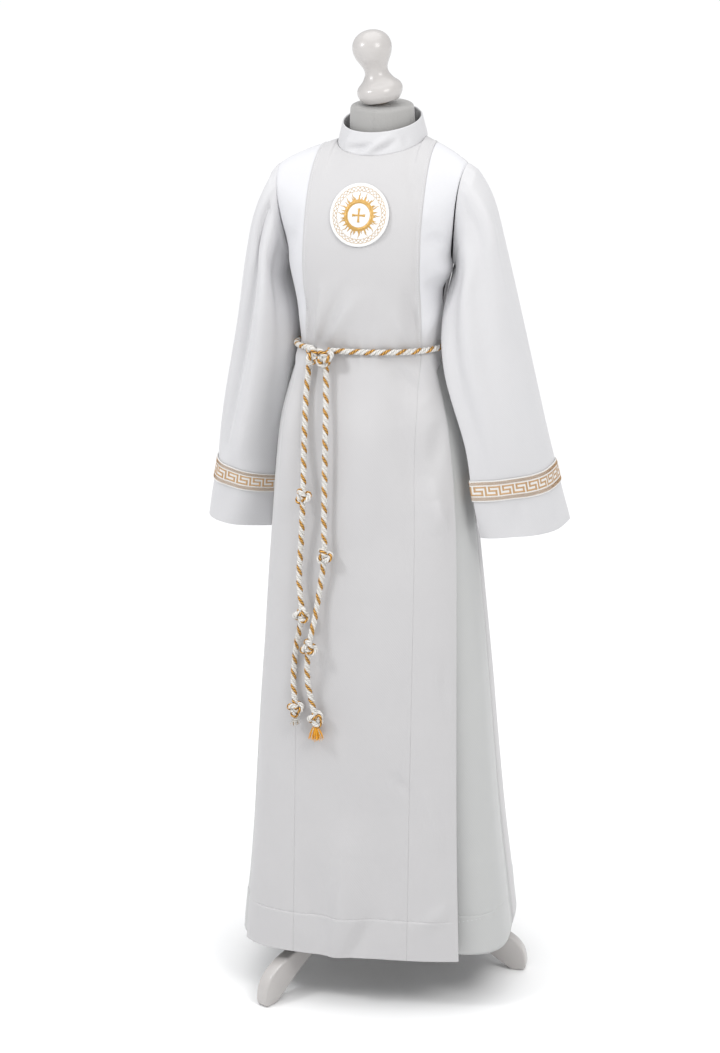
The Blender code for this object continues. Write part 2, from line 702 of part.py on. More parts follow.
def lump(name, middle, size, finish):
    """A knot's plain solid: a rounded lump a little square in section."""
    rings = []
    for tilt in np.linspace(-75, 75, 6):
        up = math.sin(math.radians(tilt))
        wide = math.cos(math.radians(tilt)) ** 0.7
        ring = []
        for angle in np.arange(12) * 2 * math.pi / 12:
            ring.append((
                middle[0] + size[0] / 2 * wide * math.cos(angle),
                middle[1] + size[1] / 2 * wide * math.sin(angle),
                middle[2] + size[2] / 2 * up / math.sin(math.radians(75)),
            ))
        rings.append(ring)
    return loft(name, rings, finish)


def hanging_end(label, table, tail_length, tail_radius, tail_finish):
    """The rope's runs between its knots, the knots, and the frayed tail."""
    points = [(x, y, z) for _, x, y, z in table]
    knots = [i for i, row in enumerate(table) if row[0] == "knot"]
    whole = spline(points, 16 * len(points))
    centres = [np.array(points[i]) for i in knots]
    for n, centre in enumerate(centres, 1):
        lump(f"knot_{label}_{n}", centre, (KNOT_WIDTH, KNOT_WIDTH, KNOT_HEIGHT), "rope")
    tops = [points[0][2]] + [c[2] - KNOT_HEIGHT / 2 - KNOT_GAP for c in centres[:-1]]
    ends = [c[2] + KNOT_HEIGHT / 2 + KNOT_GAP for c in centres]
    for n, (top, end) in enumerate(zip(tops, ends), 1):
        inside = whole[(whole[:, 2] <= top) & (whole[:, 2] >= end)]
        count = max(4, round((top - end) / (2.2 * ROPE)) + 1)
        tube(f"cord_{label}_{n}", spline(inside, count), ROPE / 2, "rope")
    x, y, z = centres[-1]
    top = z - KNOT_HEIGHT / 2 - SEAM
    rings = []
    for part, wide in ((0.0, 0.55), (0.3, 0.85), (0.75, 1.0), (1.0, 0.8)):
        ring = [
            (x + tail_radius * wide * math.cos(a), y + tail_radius * wide * math.sin(a),
             top - tail_length * part)
            for a in np.arange(12) * 2 * math.pi / 12
        ]
        rings.append(ring)
    loft(f"tail_{label}", rings, tail_finish)


# ---------------------------------------------------------------- dress form and stand
def form():
    """The torso and neck as one padded solid, clear of the cloth."""
    rings = []
    for row in FORM:
        lean = math.radians(row.lean)
        ring = []
        for angle in np.arange(24) * 2 * math.pi / 24:
            sine, cosine = math.sin(angle), math.cos(angle)
            depth = row.front if cosine > 0 else row.back
            x = math.copysign(row.half_width * abs(sine) ** (2 / row.square), sine)
            y = -math.copysign(depth * abs(cosine) ** (2 / row.square), cosine)
            ring.append((
                row.shift_x + x,
                row.shift_y + y * math.cos(lean),
                row.z + y * math.sin(lean),
            ))
        rings.append(ring)
    loft("form_torso", rings, "jersey")


def finial():
    """The turned knob, loose on the neck, and its peg."""
    top = FORM[-1]
    lean = math.radians(FINIAL_LEAN)
    place = (top.shift_x + FINIAL_OFF[0], top.shift_y + FINIAL_OFF[1], top.z + FINIAL_OFF[2])
    knob = turned("finial", FINIAL, 22, "painted_wood")
    knob.location = place
    knob.rotation_euler = (math.radians(top.lean), -lean, 0)
    peg = turned("finial_peg", ((-PEG_LENGTH, PEG_RADIUS), (-0.0004, PEG_RADIUS)), 14, "painted_wood")
    peg.location = place
    peg.rotation_euler = knob.rotation_euler


def pole():
    low, high = HUB[-1][0] + SEAM, FORM[0].z - SEAM
    turned("pole", ((low, POLE_RADIUS), (high, POLE_RADIUS)), 20, "painted_wood")


def hub():
    turned("hub", HUB, 24, "painted_wood")


def leg(number):
    """A flat curved board, standing on its edge, with its outer end on the floor."""
    outline = [(r, z) for r, z in LEG]
    faces = [tuple(range(len(outline)))]
    faces.append(tuple(reversed(range(len(outline), 2 * len(outline)))))
    for i in range(len(outline)):
        k = (i + 1) % len(outline)
        faces.append((i, i + len(outline), k + len(outline), k))
    half = LEG_THICK / 2
    points = [(r, -half, z) for r, z in outline] + [(r, half, z) for r, z in outline]
    thing = add(f"leg_{number}", facing_out(mesh_of(f"leg_{number}", points, faces)), "painted_wood")
    thing.rotation_euler = (0, 0, math.radians(FIRST_LEG + (number - 1) * 360 / LEG_COUNT - 90))
    soft = thing.modifiers.new("Edges", "BEVEL")
    soft.width = LEG_EDGE
    soft.segments = 2
    soft.limit_method = "ANGLE"
    soft.angle_limit = math.radians(50)


# ---------------------------------------------------------------- the whole object
def centre_over_origin():
    """Moves the stand so that the outer box, without the hanging ends, is over the origin."""
    bpy.context.view_layer.update()
    graph = bpy.context.evaluated_depsgraph_get()
    low, high = np.full(3, 9.0), np.full(3, -9.0)
    for thing in STAND.children:
        if thing.name.startswith(("cord_", "knot_", "tail_")):
            continue
        shape = thing.evaluated_get(graph)
        for corner in (shape.matrix_world @ vertex.co for vertex in shape.to_mesh().vertices):
            low = np.minimum(low, corner)
            high = np.maximum(high, corner)
        shape.to_mesh_clear()
    STAND.location = (-(low[0] + high[0]) / 2, -(low[1] + high[1]) / 2, -low[2])
    print("pole axis", [round(v, 5) for v in STAND.location])


def main():
    front_centre()
    back()
    for side in (1, -1):
        front_side(side)
        side_panel(side)
        sleeve(side)
        braid(side)
    collar()
    badge()
    belt_rope()
    lump("belt_knot", BELT_KNOT, BELT_KNOT_SIZE, "rope")
    hanging_end("right", CORD_RIGHT_SIDE, TAIL_LENGTH, 0.006, "rope")
    hanging_end("left", CORD_LEFT_SIDE, TASSEL_LENGTH, 0.010, "tassel")
    form()
    finial()
    pole()
    hub()
    for number in range(1, LEG_COUNT + 1):
        leg(number)
    centre_over_origin()


main()
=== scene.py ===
"""The looks of a child's alb on a dress form: cloth, braid, badge, rope cincture, jersey and paint.

Metres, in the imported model's frame: +Z up, the garment faces -Y, the wearer's left is +X. Each
surface is worked out about the pole's axis, as the solids are, and placed() moves it into the frame.
"""

import math
from collections import namedtuple

import bpy
import numpy as np
from mathutils import Matrix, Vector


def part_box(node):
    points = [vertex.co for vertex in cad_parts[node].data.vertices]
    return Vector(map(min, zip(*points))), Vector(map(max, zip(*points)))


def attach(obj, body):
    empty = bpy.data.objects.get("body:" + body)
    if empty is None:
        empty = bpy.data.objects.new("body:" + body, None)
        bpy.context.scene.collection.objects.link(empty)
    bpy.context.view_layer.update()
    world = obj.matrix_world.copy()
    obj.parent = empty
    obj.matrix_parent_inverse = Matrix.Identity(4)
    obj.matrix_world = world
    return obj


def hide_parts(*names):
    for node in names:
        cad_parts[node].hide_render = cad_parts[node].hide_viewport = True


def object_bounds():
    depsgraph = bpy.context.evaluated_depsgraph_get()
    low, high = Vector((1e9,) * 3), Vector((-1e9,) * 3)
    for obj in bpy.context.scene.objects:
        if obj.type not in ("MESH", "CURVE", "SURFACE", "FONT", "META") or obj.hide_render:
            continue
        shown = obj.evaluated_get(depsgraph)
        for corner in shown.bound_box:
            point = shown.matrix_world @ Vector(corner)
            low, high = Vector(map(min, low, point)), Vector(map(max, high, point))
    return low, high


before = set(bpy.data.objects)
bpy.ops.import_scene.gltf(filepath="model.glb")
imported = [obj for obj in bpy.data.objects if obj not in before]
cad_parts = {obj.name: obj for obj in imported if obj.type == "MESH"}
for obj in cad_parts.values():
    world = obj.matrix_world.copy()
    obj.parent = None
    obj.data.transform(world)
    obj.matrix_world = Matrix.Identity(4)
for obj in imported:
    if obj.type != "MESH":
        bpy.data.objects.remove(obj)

CAD_BOX = [list(corner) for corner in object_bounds()]
POLE_LOW, POLE_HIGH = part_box("pole")
AXIS = np.array([(POLE_LOW.x + POLE_HIGH.x) / 2, (POLE_LOW.y + POLE_HIGH.y) / 2, 0.0])

# ---------------------------------------------------------------- driving dimensions
MM = 0.001
CLOTH, COLLAR_CLOTH, BRAID = 0.0014, 0.0022, 0.0012
SEAM, LIE = 0.00003, 0.0007  # a seam's gap, and how far a sewn-on piece lies off the cloth
HEM_Z, WAIST_Z, CHEST_Z = 0.076, 0.890, 1.000
HEM_DEEP = 0.055
PANEL_HALF = 0.078
NECK_X, NECK_Y, NECK_Z = 0.006, 0.024, 1.157
NECK_HALF_WIDTH, NECK_HALF_DEPTH = 0.0590, 0.0540
NECK_RISE, NECK_LIST = 0.34, 0.045
SHOULDER_X, SHOULDER_Y, SHOULDER_Z, SHOULDER_LIST = 0.1265, 0.000, 1.126, 0.0035
COLLAR_TALL_FRONT, COLLAR_TALL_BACK, COLLAR_TAPER = 0.0255, 0.0225, 0.0065
BADGE_RADIUS, BADGE_X, BADGE_Z = 0.039, 0.0, 1.0665
ROPE, ROPE_OFF, ROPE_PITCH, BELT_SAG = 0.008, 0.0012, 0.0205, 0.002
SIDES = {1: "left", -1: "right"}  # the wearer's


def table(kind, *rows):
    return [kind(*row) for row in rows]


Section = namedtuple("Section", "z left right front back square turn middle_y")
BODY = table(
    Section,
    (0.076, 0.2075, 0.1645, 0.140, 0.150, 4.20, 5.0, -0.028),
    (0.250, 0.1855, 0.1525, 0.131, 0.140, 3.50, 4.5, -0.022),
    (0.450, 0.1655, 0.1460, 0.121, 0.128, 2.90, 4.0, -0.015),
    (0.640, 0.1450, 0.1370, 0.108, 0.112, 2.60, 3.0, -0.008),
    (0.780, 0.1290, 0.1260, 0.095, 0.098, 2.50, 1.0, -0.003),
    (0.850, 0.1070, 0.1090, 0.080, 0.080, 2.40, 0.0, 0.000),
    (0.890, 0.0950, 0.0960, 0.072, 0.070, 2.40, 0.0, 0.000),
    (0.918, 0.0950, 0.0970, 0.077, 0.074, 2.40, 0.0, 0.000),
    (0.950, 0.0965, 0.1005, 0.080, 0.078, 2.40, 0.0, 0.000),
    (1.000, 0.1060, 0.1120, 0.082, 0.082, 2.40, 0.0, 0.000),
)
Pleat = namedtuple("Pleat", "z left right inset")
PLEAT = table(
    Pleat,
    (0.076, 0.1480, 0.1520, 0.022),
    (0.250, 0.1410, 0.1420, 0.018),
    (0.600, 0.1300, 0.1275, 0.011),
    (0.715, 0.1240, 0.1180, 0.009),
    (0.785, 0.1160, 0.1120, 0.007),
    (0.820, 0.1080, 0.1060, 0.006),
    (0.865, 0.0950, 0.0960, 0.005),
)
PLEAT_LAYER, PLEAT_TOP, PLEAT_ROUND = 0.0020, 0.872, 0.0013
PLEAT_BACK, PLEAT_AIR = 0.012, 0.0012  # where it turns back, inside the panel's seam; its slack

Ring = namedtuple("Ring", "along blend out_x out_y out_z in_x in_y in_z half_thick")


def rings(*rows):
    """Sleeve rings, evenly spaced along the sleeve."""
    return [Ring(i / (len(rows) - 1), *row) for i, row in enumerate(rows)]


SLEEVE = {
    1: rings(
        (0.40, 0.1580, 0.002, 1.110, 0.1200, -0.006, 0.992, 0.044),
        (0.80, 0.1660, 0.006, 1.078, 0.1140, -0.024, 0.968, 0.043),
        (1.00, 0.1745, 0.012, 1.024, 0.1040, -0.036, 0.930, 0.040),
        (1.00, 0.1995, 0.027, 0.912, 0.1110, -0.054, 0.862, 0.036),
        (1.00, 0.2260, 0.043, 0.789, 0.1390, -0.058, 0.770, 0.034),
        (1.00, 0.2430, 0.051, 0.720, 0.1480, -0.054, 0.708, 0.034),
        (1.00, 0.2600, 0.058, 0.650, 0.1580, -0.045, 0.643, 0.036),
    ),
    -1: rings(
        (0.40, 0.1440, 0.002, 1.104, 0.1180, -0.004, 0.990, 0.044),
        (0.80, 0.1500, 0.004, 1.070, 0.1200, -0.006, 0.966, 0.044),
        (1.00, 0.1590, 0.008, 1.018, 0.1080, -0.014, 0.928, 0.044),
        (1.00, 0.1830, 0.022, 0.905, 0.1100, -0.014, 0.858, 0.044),
        (1.00, 0.2130, 0.036, 0.780, 0.1340, 0.000, 0.744, 0.045),
        (1.00, 0.2270, 0.043, 0.709, 0.1405, 0.003, 0.687, 0.045),
        (1.00, 0.2450, 0.050, 0.636, 0.1465, 0.006, 0.625, 0.046),
    ),
}
SLEEVE_HEAD, ARMHOLE_GAP, CUFF_FLAT = 0.10, 0.0003, 0.85
SLEEVE_LONG, SLEEVE_ROUND = 0.47, 0.36  # about its flat length and girth, to place its folds
BRAID_FROM, BRAID_TO, BRAID_WIDE = 0.815, 0.883, 0.032

# The cincture's hanging ends, as in the solids: rope points and knots' middles.
CORD = {
    "right": (
        ("rope", -0.0680, -0.0725, 0.8680),
        ("rope", -0.0690, -0.0810, 0.8345),
        ("rope", -0.0676, -0.0930, 0.7998),
        ("rope", -0.0661, -0.1040, 0.7554),
        ("knot", -0.0635, -0.1184, 0.7025),
        ("rope", -0.0657, -0.1205, 0.6443),
        ("rope", -0.0670, -0.1270, 0.5938),
        ("knot", -0.0607, -0.1386, 0.5468),
        ("rope", -0.0696, -0.1356, 0.4991),
        ("rope", -0.0719, -0.1408, 0.4557),
        ("knot", -0.0661, -0.1512, 0.4190),
    ),
    "left": (
        ("rope", -0.0425, -0.0800, 0.8700),
        ("rope", -0.0403, -0.0885, 0.8377),
        ("rope", -0.0369, -0.1036, 0.7907),
        ("rope", -0.0350, -0.1151, 0.7265),
        ("rope", -0.0337, -0.1232, 0.6679),
        ("knot", -0.0310, -0.1321, 0.6275),
        ("rope", -0.0365, -0.1320, 0.5880),
        ("rope", -0.0418, -0.1385, 0.5481),
        ("knot", -0.0475, -0.1519, 0.5065),
        ("rope", -0.0499, -0.1500, 0.4635),
        ("rope", -0.0445, -0.1505, 0.4333),
        ("knot", -0.0371, -0.1545, 0.4088),
    ),
}
BELT_KNOT = (-0.0506, -0.0805, 0.8840)
BELT_KNOT_HALF = 0.0165


# ---------------------------------------------------------------- camera
def add_object(name, data, place=(0, 0, 0)):
    thing = bpy.data.objects.new(name, data)
    thing.location = place
    bpy.context.scene.collection.objects.link(thing)
    return thing


def camera():
    turn, pitch = math.radians(15.0), math.radians(15.7)
    away, aside, high = 2.90, 0.0174, 1.45  # from the pole's axis, on the floor
    data = bpy.data.cameras.new("camera")
    data.lens, data.sensor_width = 75.76, 36.0
    thing = add_object("camera", data)
    thing.location = (
        AXIS[0] + away * math.sin(turn) - aside * math.cos(turn),
        AXIS[1] - away * math.cos(turn) - aside * math.sin(turn),
        high,
    )
    thing.rotation_euler = (math.pi / 2 - pitch, 0, turn)
    bpy.context.scene.camera = thing


# ---------------------------------------------------------------- surfaces
def column(rows, key, name, where):
    """A column of a table on a smooth curve through its rows."""
    keys = np.array([getattr(row, key) for row in rows])
    values = np.array([getattr(row, name) for row in rows])
    low, high = np.maximum(np.arange(len(keys)) - 1, 0), np.minimum(np.arange(len(keys)) + 1, len(keys) - 1)
    slopes = (values[high] - values[low]) / (keys[high] - keys[low])
    where = np.clip(where, keys[0], keys[-1])
    i = np.clip(np.searchsorted(keys, where, side="right") - 1, 0, len(keys) - 2)
    step = keys[i + 1] - keys[i]
    part = (where - keys[i]) / step
    return (
        values[i] * (1 + 2 * part) * (1 - part) ** 2
        + slopes[i] * step * part * (1 - part) ** 2
        + values[i + 1] * part**2 * (3 - 2 * part)
        + slopes[i + 1] * step * part**2 * (part - 1)
    )


def smoothstep(low, high, value):
    part = np.clip((value - low) / (high - low), 0, 1)
    return part * part * (3 - 2 * part)


def angle_at(z, across):
    """The angle on the body's section at z whose point is "across" from the middle. 0 is the front."""
    half = np.where(across > 0, column(BODY, "z", "left", z), column(BODY, "z", "right", z))
    share = np.minimum(np.abs(across) / half, 1.0)
    return np.sign(across) * np.arcsin(share ** (column(BODY, "z", "square", z) / 2))


def seam_angle(z, back=False):
    """The side seam's angle, less half a seam's gap."""
    depth = column(BODY, "z", "back" if back else "front", z)
    return np.arccos((SEAM / 2 / depth) ** (column(BODY, "z", "square", z) / 2))


def body(z, angle, inset=0.0):
    """Points of the cloth's outer face, or inset from it, at these levels and angles."""
    z, angle, inset = np.broadcast_arrays(np.asarray(z, float), angle, inset)
    left, right, front, back, square, turn, middle = (column(BODY, "z", n, z) for n in Section._fields[1:])
    sine, cosine = np.sin(angle), np.cos(angle)
    width, depth = np.where(sine > 0, left, right), np.where(cosine > 0, front, back)
    x = np.sign(sine) * width * np.abs(sine) ** (2 / square)
    y = -np.sign(cosine) * depth * np.abs(cosine) ** (2 / square)
    out_x = np.sign(x) * (np.abs(x) / width) ** (square - 1) / width
    out_y = np.sign(y) * (np.abs(y) / depth) ** (square - 1) / depth
    length = np.hypot(out_x, out_y)
    x, y, turn = x - inset * out_x / length, y - inset * out_y / length, np.radians(turn)
    return np.stack(
        [x * np.cos(turn) - y * np.sin(turn), middle + x * np.sin(turn) + y * np.cos(turn), z], axis=-1
    )


PANEL_SHARE, NECK_SHARE = 0.60, 0.46  # parts of the front's half: the centre panel's, the neckline's
ARCH_MIDDLE, ARCH_SIDE = 56.0, 30.0
BULGE_FRONT, BULGE_BACK, BULGE_FROM = -0.032, 0.036, 0.45


def top_edge(share, back):
    """The neckline and the shoulder seams. share runs from -1 to 1."""
    side = np.where(share < 0, -1.0, 1.0)
    part = np.clip((np.abs(share) - NECK_SHARE) / (1 - NECK_SHARE), 0, 1)
    neck_x = NECK_X + side * NECK_HALF_WIDTH
    high, low = NECK_Z + side * NECK_HALF_WIDTH * NECK_LIST, SHOULDER_Z + side * SHOULDER_LIST
    shoulder = np.stack(
        [
            neck_x + (side * SHOULDER_X - neck_x) * part,
            NECK_Y + (SHOULDER_Y - NECK_Y) * part,
            high - (high - low) * (0.80 * part + 0.20 * part**4),
        ],
        axis=-1,
    )
    angle = np.clip(share / NECK_SHARE, -1, 1) * math.pi / 2
    across = NECK_HALF_WIDTH * np.sin(angle)
    y = NECK_Y + NECK_HALF_DEPTH * np.cos(angle) * (1 if back else -1)
    neck = np.stack([NECK_X + across, y, NECK_Z + (y - NECK_Y) * NECK_RISE + across * NECK_LIST], axis=-1)
    return np.where((np.abs(share) > NECK_SHARE)[..., None], shoulder, neck)


def yoke(share, rise, back=False):
    """The cloth above the underarms. share is -1 to 1 across, rise is 0 to 1 up to the top edge."""
    share, rise = np.broadcast_arrays(np.asarray(share, float), rise)
    edge = angle_at(CHEST_Z, np.sign(share) * PANEL_HALF)
    inner = angle_at(CHEST_Z, share / PANEL_SHARE * PANEL_HALF)
    part = (np.abs(share) - PANEL_SHARE) / (1 - PANEL_SHARE)
    outer = np.sign(share) * (np.abs(edge) + (math.pi / 2 - np.abs(edge)) * part)
    low = np.where(np.abs(share) <= PANEL_SHARE, inner, outer)
    foot = body(CHEST_Z, math.pi - low if back else low)
    top = top_edge(share, back)
    arch = np.radians(ARCH_MIDDLE + ARCH_SIDE * np.minimum(np.abs(share) / NECK_SHARE, 1) ** 2)
    over = (1 - np.cos(arch * rise)) / (1 - np.cos(arch))
    up = np.sin(arch * rise) / np.sin(arch)
    bow = np.sin(math.pi * rise) * np.maximum(0.0, (np.abs(share) - BULGE_FROM) / (1 - BULGE_FROM)) ** 2
    moved = foot + (top - foot) * np.stack([rise, over, up], axis=-1)
    moved[..., 0] += np.sign(share) * 0.002 * bow
    moved[..., 1] += (BULGE_BACK if back else BULGE_FRONT) * bow
    return moved


def unit(vectors):
    return vectors / np.maximum(np.linalg.norm(vectors, axis=-1, keepdims=True), 1e-12)


def run_along(points):
    """How far along a line each of its points is."""
    return np.cumsum(np.linalg.norm(np.diff(points, axis=0, prepend=points[:1]), axis=1))


def at_each(where, along, points):
    """The points of a line at these distances along it."""
    return np.stack([np.interp(where, along, points[:, k]) for k in range(points.shape[1])], axis=-1)


def stacked(*columns):
    """Points or flat coordinates from columns that may need spreading to one shape."""
    return np.stack(np.broadcast_arrays(*columns), axis=-1)


def full_circle(count):
    return (np.arange(count) * 2 * math.pi / count)[None]


FIND_STEPS, FIND_EASE, YOKE_TALL, NUDGE = 30, 0.8, 0.18, 0.02


def front_at(x, z, off=0.0):
    """Points of the front at these x and z, moved out by off."""
    x, z, off = (np.asarray(v, float) for v in np.broadcast_arrays(x, z, off))
    share, rise = x / PANEL_HALF * PANEL_SHARE, np.full(x.shape, 0.4)
    for _ in range(FIND_STEPS):
        found = yoke(share, rise)
        share = share + (x - found[..., 0]) * PANEL_SHARE / PANEL_HALF * FIND_EASE
        rise = np.clip(rise + (z - found[..., 2]) / YOKE_TALL, 0.0, 1.0)
    here = yoke(share, rise)
    aside, above = yoke(share + NUDGE, rise), yoke(share, np.minimum(rise + NUDGE, 1.0))
    normal = unit(np.cross(aside - here, above - here))
    below = z[..., None] <= CHEST_Z
    high = here + normal * off[..., None]
    return np.where(below, body(z, angle_at(z, x), -off), high)


def sleeve(side, along, angle, off=0.0):
    """along is 0 at the armhole and 1 at the cuff's edge; angle is 0 at the sleeve's outer fold."""
    along, angle, off = np.broadcast_arrays(np.asarray(along, float), angle, off)
    past = np.maximum(0.0, (along - SLEEVE_HEAD) / (1 - SLEEVE_HEAD))
    row = {name: column(SLEEVE[side], "along", name, past) for name in Ring._fields[1:]}
    outer = np.stack([side * row["out_x"], row["out_y"], row["out_z"]], axis=-1)
    inner = np.stack([side * row["in_x"], row["in_y"], row["in_z"]], axis=-1)
    half = (outer - inner) / 2
    flat = half[..., :2] / np.linalg.norm(half[..., :2], axis=-1, keepdims=True)
    thick = side * row["half_thick"]
    forward = np.stack([flat[..., 1] * thick, -flat[..., 0] * thick, 0 * thick], axis=-1)
    cosine, sine = np.cos(angle)[..., None], np.sin(angle)[..., None]
    flattened = CUFF_FLAT * smoothstep(0.30, 1.0, along)[..., None]
    ring = (outer + inner) / 2 + half * cosine + forward * sine * np.abs(sine) ** flattened
    turn = (angle / math.pi) % 2
    near = yoke(np.full(turn.shape, float(side)), np.clip(1 - turn, 0, 1))
    far = yoke(np.full(turn.shape, float(side)), np.clip(turn - 1, 0, 1), back=True)
    hole = np.where((turn <= 1)[..., None], near, far) + np.array([side * ARMHOLE_GAP, 0, 0])
    blend = (row["blend"] * np.minimum(along / SLEEVE_HEAD, 1))[..., None]
    point = hole * (1 - blend) + ring * blend
    across, through = (half**2).sum(-1, keepdims=True), (forward**2).sum(-1, keepdims=True)
    outward = unit(half * cosine / across + forward * sine / through)
    return point + off[..., None] * outward


# ---------------------------------------------------------------- folds of the worn cloth
# A soft trough (high below 0) or ridge from one point to the other: its half width, how much
# wider its second side is, and its height.
Fold = namedtuple("Fold", "x0 z0 x1 z1 wide lean high")


def folds(*rows, across=MM, up=MM):
    """A table of folds: the places in these units, the half widths and heights in millimetres."""
    return [
        Fold(x0 * across, z0 * up, x1 * across, z1 * up, wide * MM, lean, high * MM)
        for x0, z0, x1, z1, wide, lean, high in rows
    ]


FRONT_FOLDS = folds(  # x and z on the front
    (47, 872, 88, 826, 10, 1.6, -4.2),
    (60, 858, 100, 812, 11, 1.4, 2.6),
    (64, 800, 90, 690, 14, 1.5, -3.4),
    (104, 700, 118, 655, 12, 1.3, 3.4),
    (112, 800, 100, 740, 12, 1.2, -2),
    (20, 860, 10, 640, 26, 1.4, 2.8),
    (-30, 850, -52, 560, 24, 1.3, -2.6),
    (-90, 860, -104, 700, 15, 1.4, 2.4),
    (126, 470, 134, 430, 6, 1.3, -1.1),
    (112, 300, 128, 245, 7, 1.4, 1.2),
    (70, 328, 82, 315, 6, 1.2, -1),
    (30, 560, 48, 330, 30, 1.6, 2.6),
    (-6, 66, 4, 215, 16, 2, 5.2),
    (12, 79, 34, 124, 8, 1.5, -2),
    (-45, 85, -55, 120, 12, 1.2, 1),
    (112, 128, 142, 150, 9, 1.3, 1.4),
    (-60, 900, -50, 965, 5, 1.4, 1.8),
    (-54, 902, -22, 972, 6, 1.4, -1.8),
    (-44, 902, -4, 958, 6, 1.6, 1.4),
    (-68, 902, -78, 955, 5, 1.3, -1.4),
    (66, 958, 76, 905, 6, 1.5, -2.2),
    (90, 940, 80, 905, 6, 1.5, 1.6),
    (50, 935, 62, 903, 5, 1.4, 1.2),
    (20, 905, 18, 945, 6, 1.5, -1),
    (92, 1045, 98, 1022, 10, 1.3, -2.6),
    (90, 985, 98, 962, 9, 1.4, -2.4),
    (100, 1005, 104, 985, 9, 1.2, 1.8),
    (-96, 1045, -104, 1020, 10, 1.3, -2),
    (34, 1060, 60, 990, 14, 1.4, -1),
    (-20, 1020, -32, 975, 18, 1.3, -1),
    (60, 1128, 74, 1085, 8, 1.4, -1.4),
)
BACK_FOLDS = folds(  # x and z on the back
    (-55, 870, -85, 420, 18, 1.5, -4),
    (-20, 860, -30, 300, 24, 1.3, 4),
    (30, 865, 45, 250, 20, 1.6, -4.5),
    (68, 860, 105, 480, 17, 1.3, 3.6),
    (100, 700, 140, 110, 20, 1.4, -3.6),
    (-95, 640, -120, 100, 22, 1.2, 4),
    (-50, 905, -30, 985, 8, 1.5, -2.4),
    (10, 905, 16, 968, 7, 1.4, 1.8),
    (55, 905, 40, 990, 8, 1.4, -2.4),
    (-80, 1060, -40, 1010, 14, 1.4, -1.8),
    (75, 1065, 50, 1000, 13, 1.3, -1.8),
)
SIDE_FOLDS = folds(  # y and z on either side
    (-20, 850, -30, 300, 16, 1.5, -3),
    (20, 840, 45, 420, 15, 1.4, 3),
    (-55, 500, -85, 120, 18, 1.3, 2.4),
    (60, 620, 85, 110, 20, 1.5, -3.6),
)
# On a sleeve, x is the angle from the outer fold in degrees and z the part of its length.
ON_SLEEVE = {"across": SLEEVE_ROUND / 360, "up": SLEEVE_LONG}
SLEEVE_FOLDS = {
    -1: folds(
        (86, 0.13, 74, 0.74, 9.5, 1.7, -8.5),
        (116, 0.16, 112, 0.7, 12, 1.5, 5.2),
        (148, 0.12, 150, 0.62, 11, 1.4, -4),
        (48, 0.18, 40, 0.6, 15, 1.5, 3.4),
        (58, 0.5, 48, 0.78, 6, 1.4, 2.2),
        (22, 0.22, 16, 0.52, 12, 1.3, -2.4),
        (100, 0.8, 92, 0.99, 14, 1.4, -3),
        (62, 0.84, 60, 1, 16, 1.4, 2.6),
        (-70, 0.16, -62, 0.7, 14, 1.5, -5),
        (-112, 0.18, -104, 0.78, 13, 1.4, 4),
        (-30, 0.1, -24, 0.5, 12, 1.3, 2.6),
        **ON_SLEEVE,
    ),
    1: folds(
        (60, 0.1, 66, 0.46, 12, 1.5, 3.4),
        (92, 0.14, 100, 0.52, 13, 1.5, -3.4),
        (128, 0.18, 126, 0.66, 12, 1.3, 3.6),
        (28, 0.2, 34, 0.62, 16, 1.5, -2.2),
        (150, 0.3, 146, 0.8, 11, 1.5, -3),
        (80, 0.6, 72, 0.98, 20, 1.4, 2.6),
        (112, 0.86, 118, 1, 12, 1.4, -3),
        (-64, 0.16, -58, 0.72, 14, 1.5, -5),
        (-108, 0.14, -100, 0.8, 13, 1.4, 4.2),
        (-150, 0.3, -146, 0.9, 12, 1.3, -3),
        **ON_SLEEVE,
    ),
}
CAP_TUCKS, TUCK_WIDE = (-58, -40, -24, -9, 8, 21, 37, 55, 70), 5.5  # degrees round the armhole


FOLD_END = 2.2  # how softly a fold ends, in its own half widths
FRONT_DEPTH, COLLAR_DEPTH, SLEEVE_DEPTH = 2.6, 3.0, 1.3  # what the tables' heights are multiplied by


def ridge(away, wide):
    return np.exp(-((away / wide) ** 2))


def relief(table, x, z):
    """The height that a table's folds add at each point."""
    total = np.zeros(np.broadcast(x, z).shape)
    for fold in table:
        run_x, run_z = fold.x1 - fold.x0, fold.z1 - fold.z0
        long = math.hypot(run_x, run_z)
        free = ((x - fold.x0) * run_x + (z - fold.z0) * run_z) / long**2
        part = np.clip(free, 0, 1)
        aside = ((x - fold.x0) * run_z - (z - fold.z0) * run_x) / long
        wide = fold.wide * np.where(aside > 0, fold.lean, 1.0)
        past_ends = (free - part) * long
        fade = 0.30 + 0.70 * np.sin(math.pi * (0.12 + 0.76 * part))
        total += fold.high * fade * ridge(aside, wide) * ridge(past_ends, fold.wide * FOLD_END)
    return total


def waves(a, b, seed):
    """Very soft unevenness, as cloth has where nothing pulls it."""
    total = 0.0
    for k in range(1, 6):
        p, q, r = (math.sin(seed * 12.9 + k * n) for n in (3.1, 5.7, 9.2))
        total = total + np.sin(a * (28 + 16 * k) * (0.6 + 0.4 * p) + b * (9 + 7 * k) * q + 6 * r) / k
    return total / 3


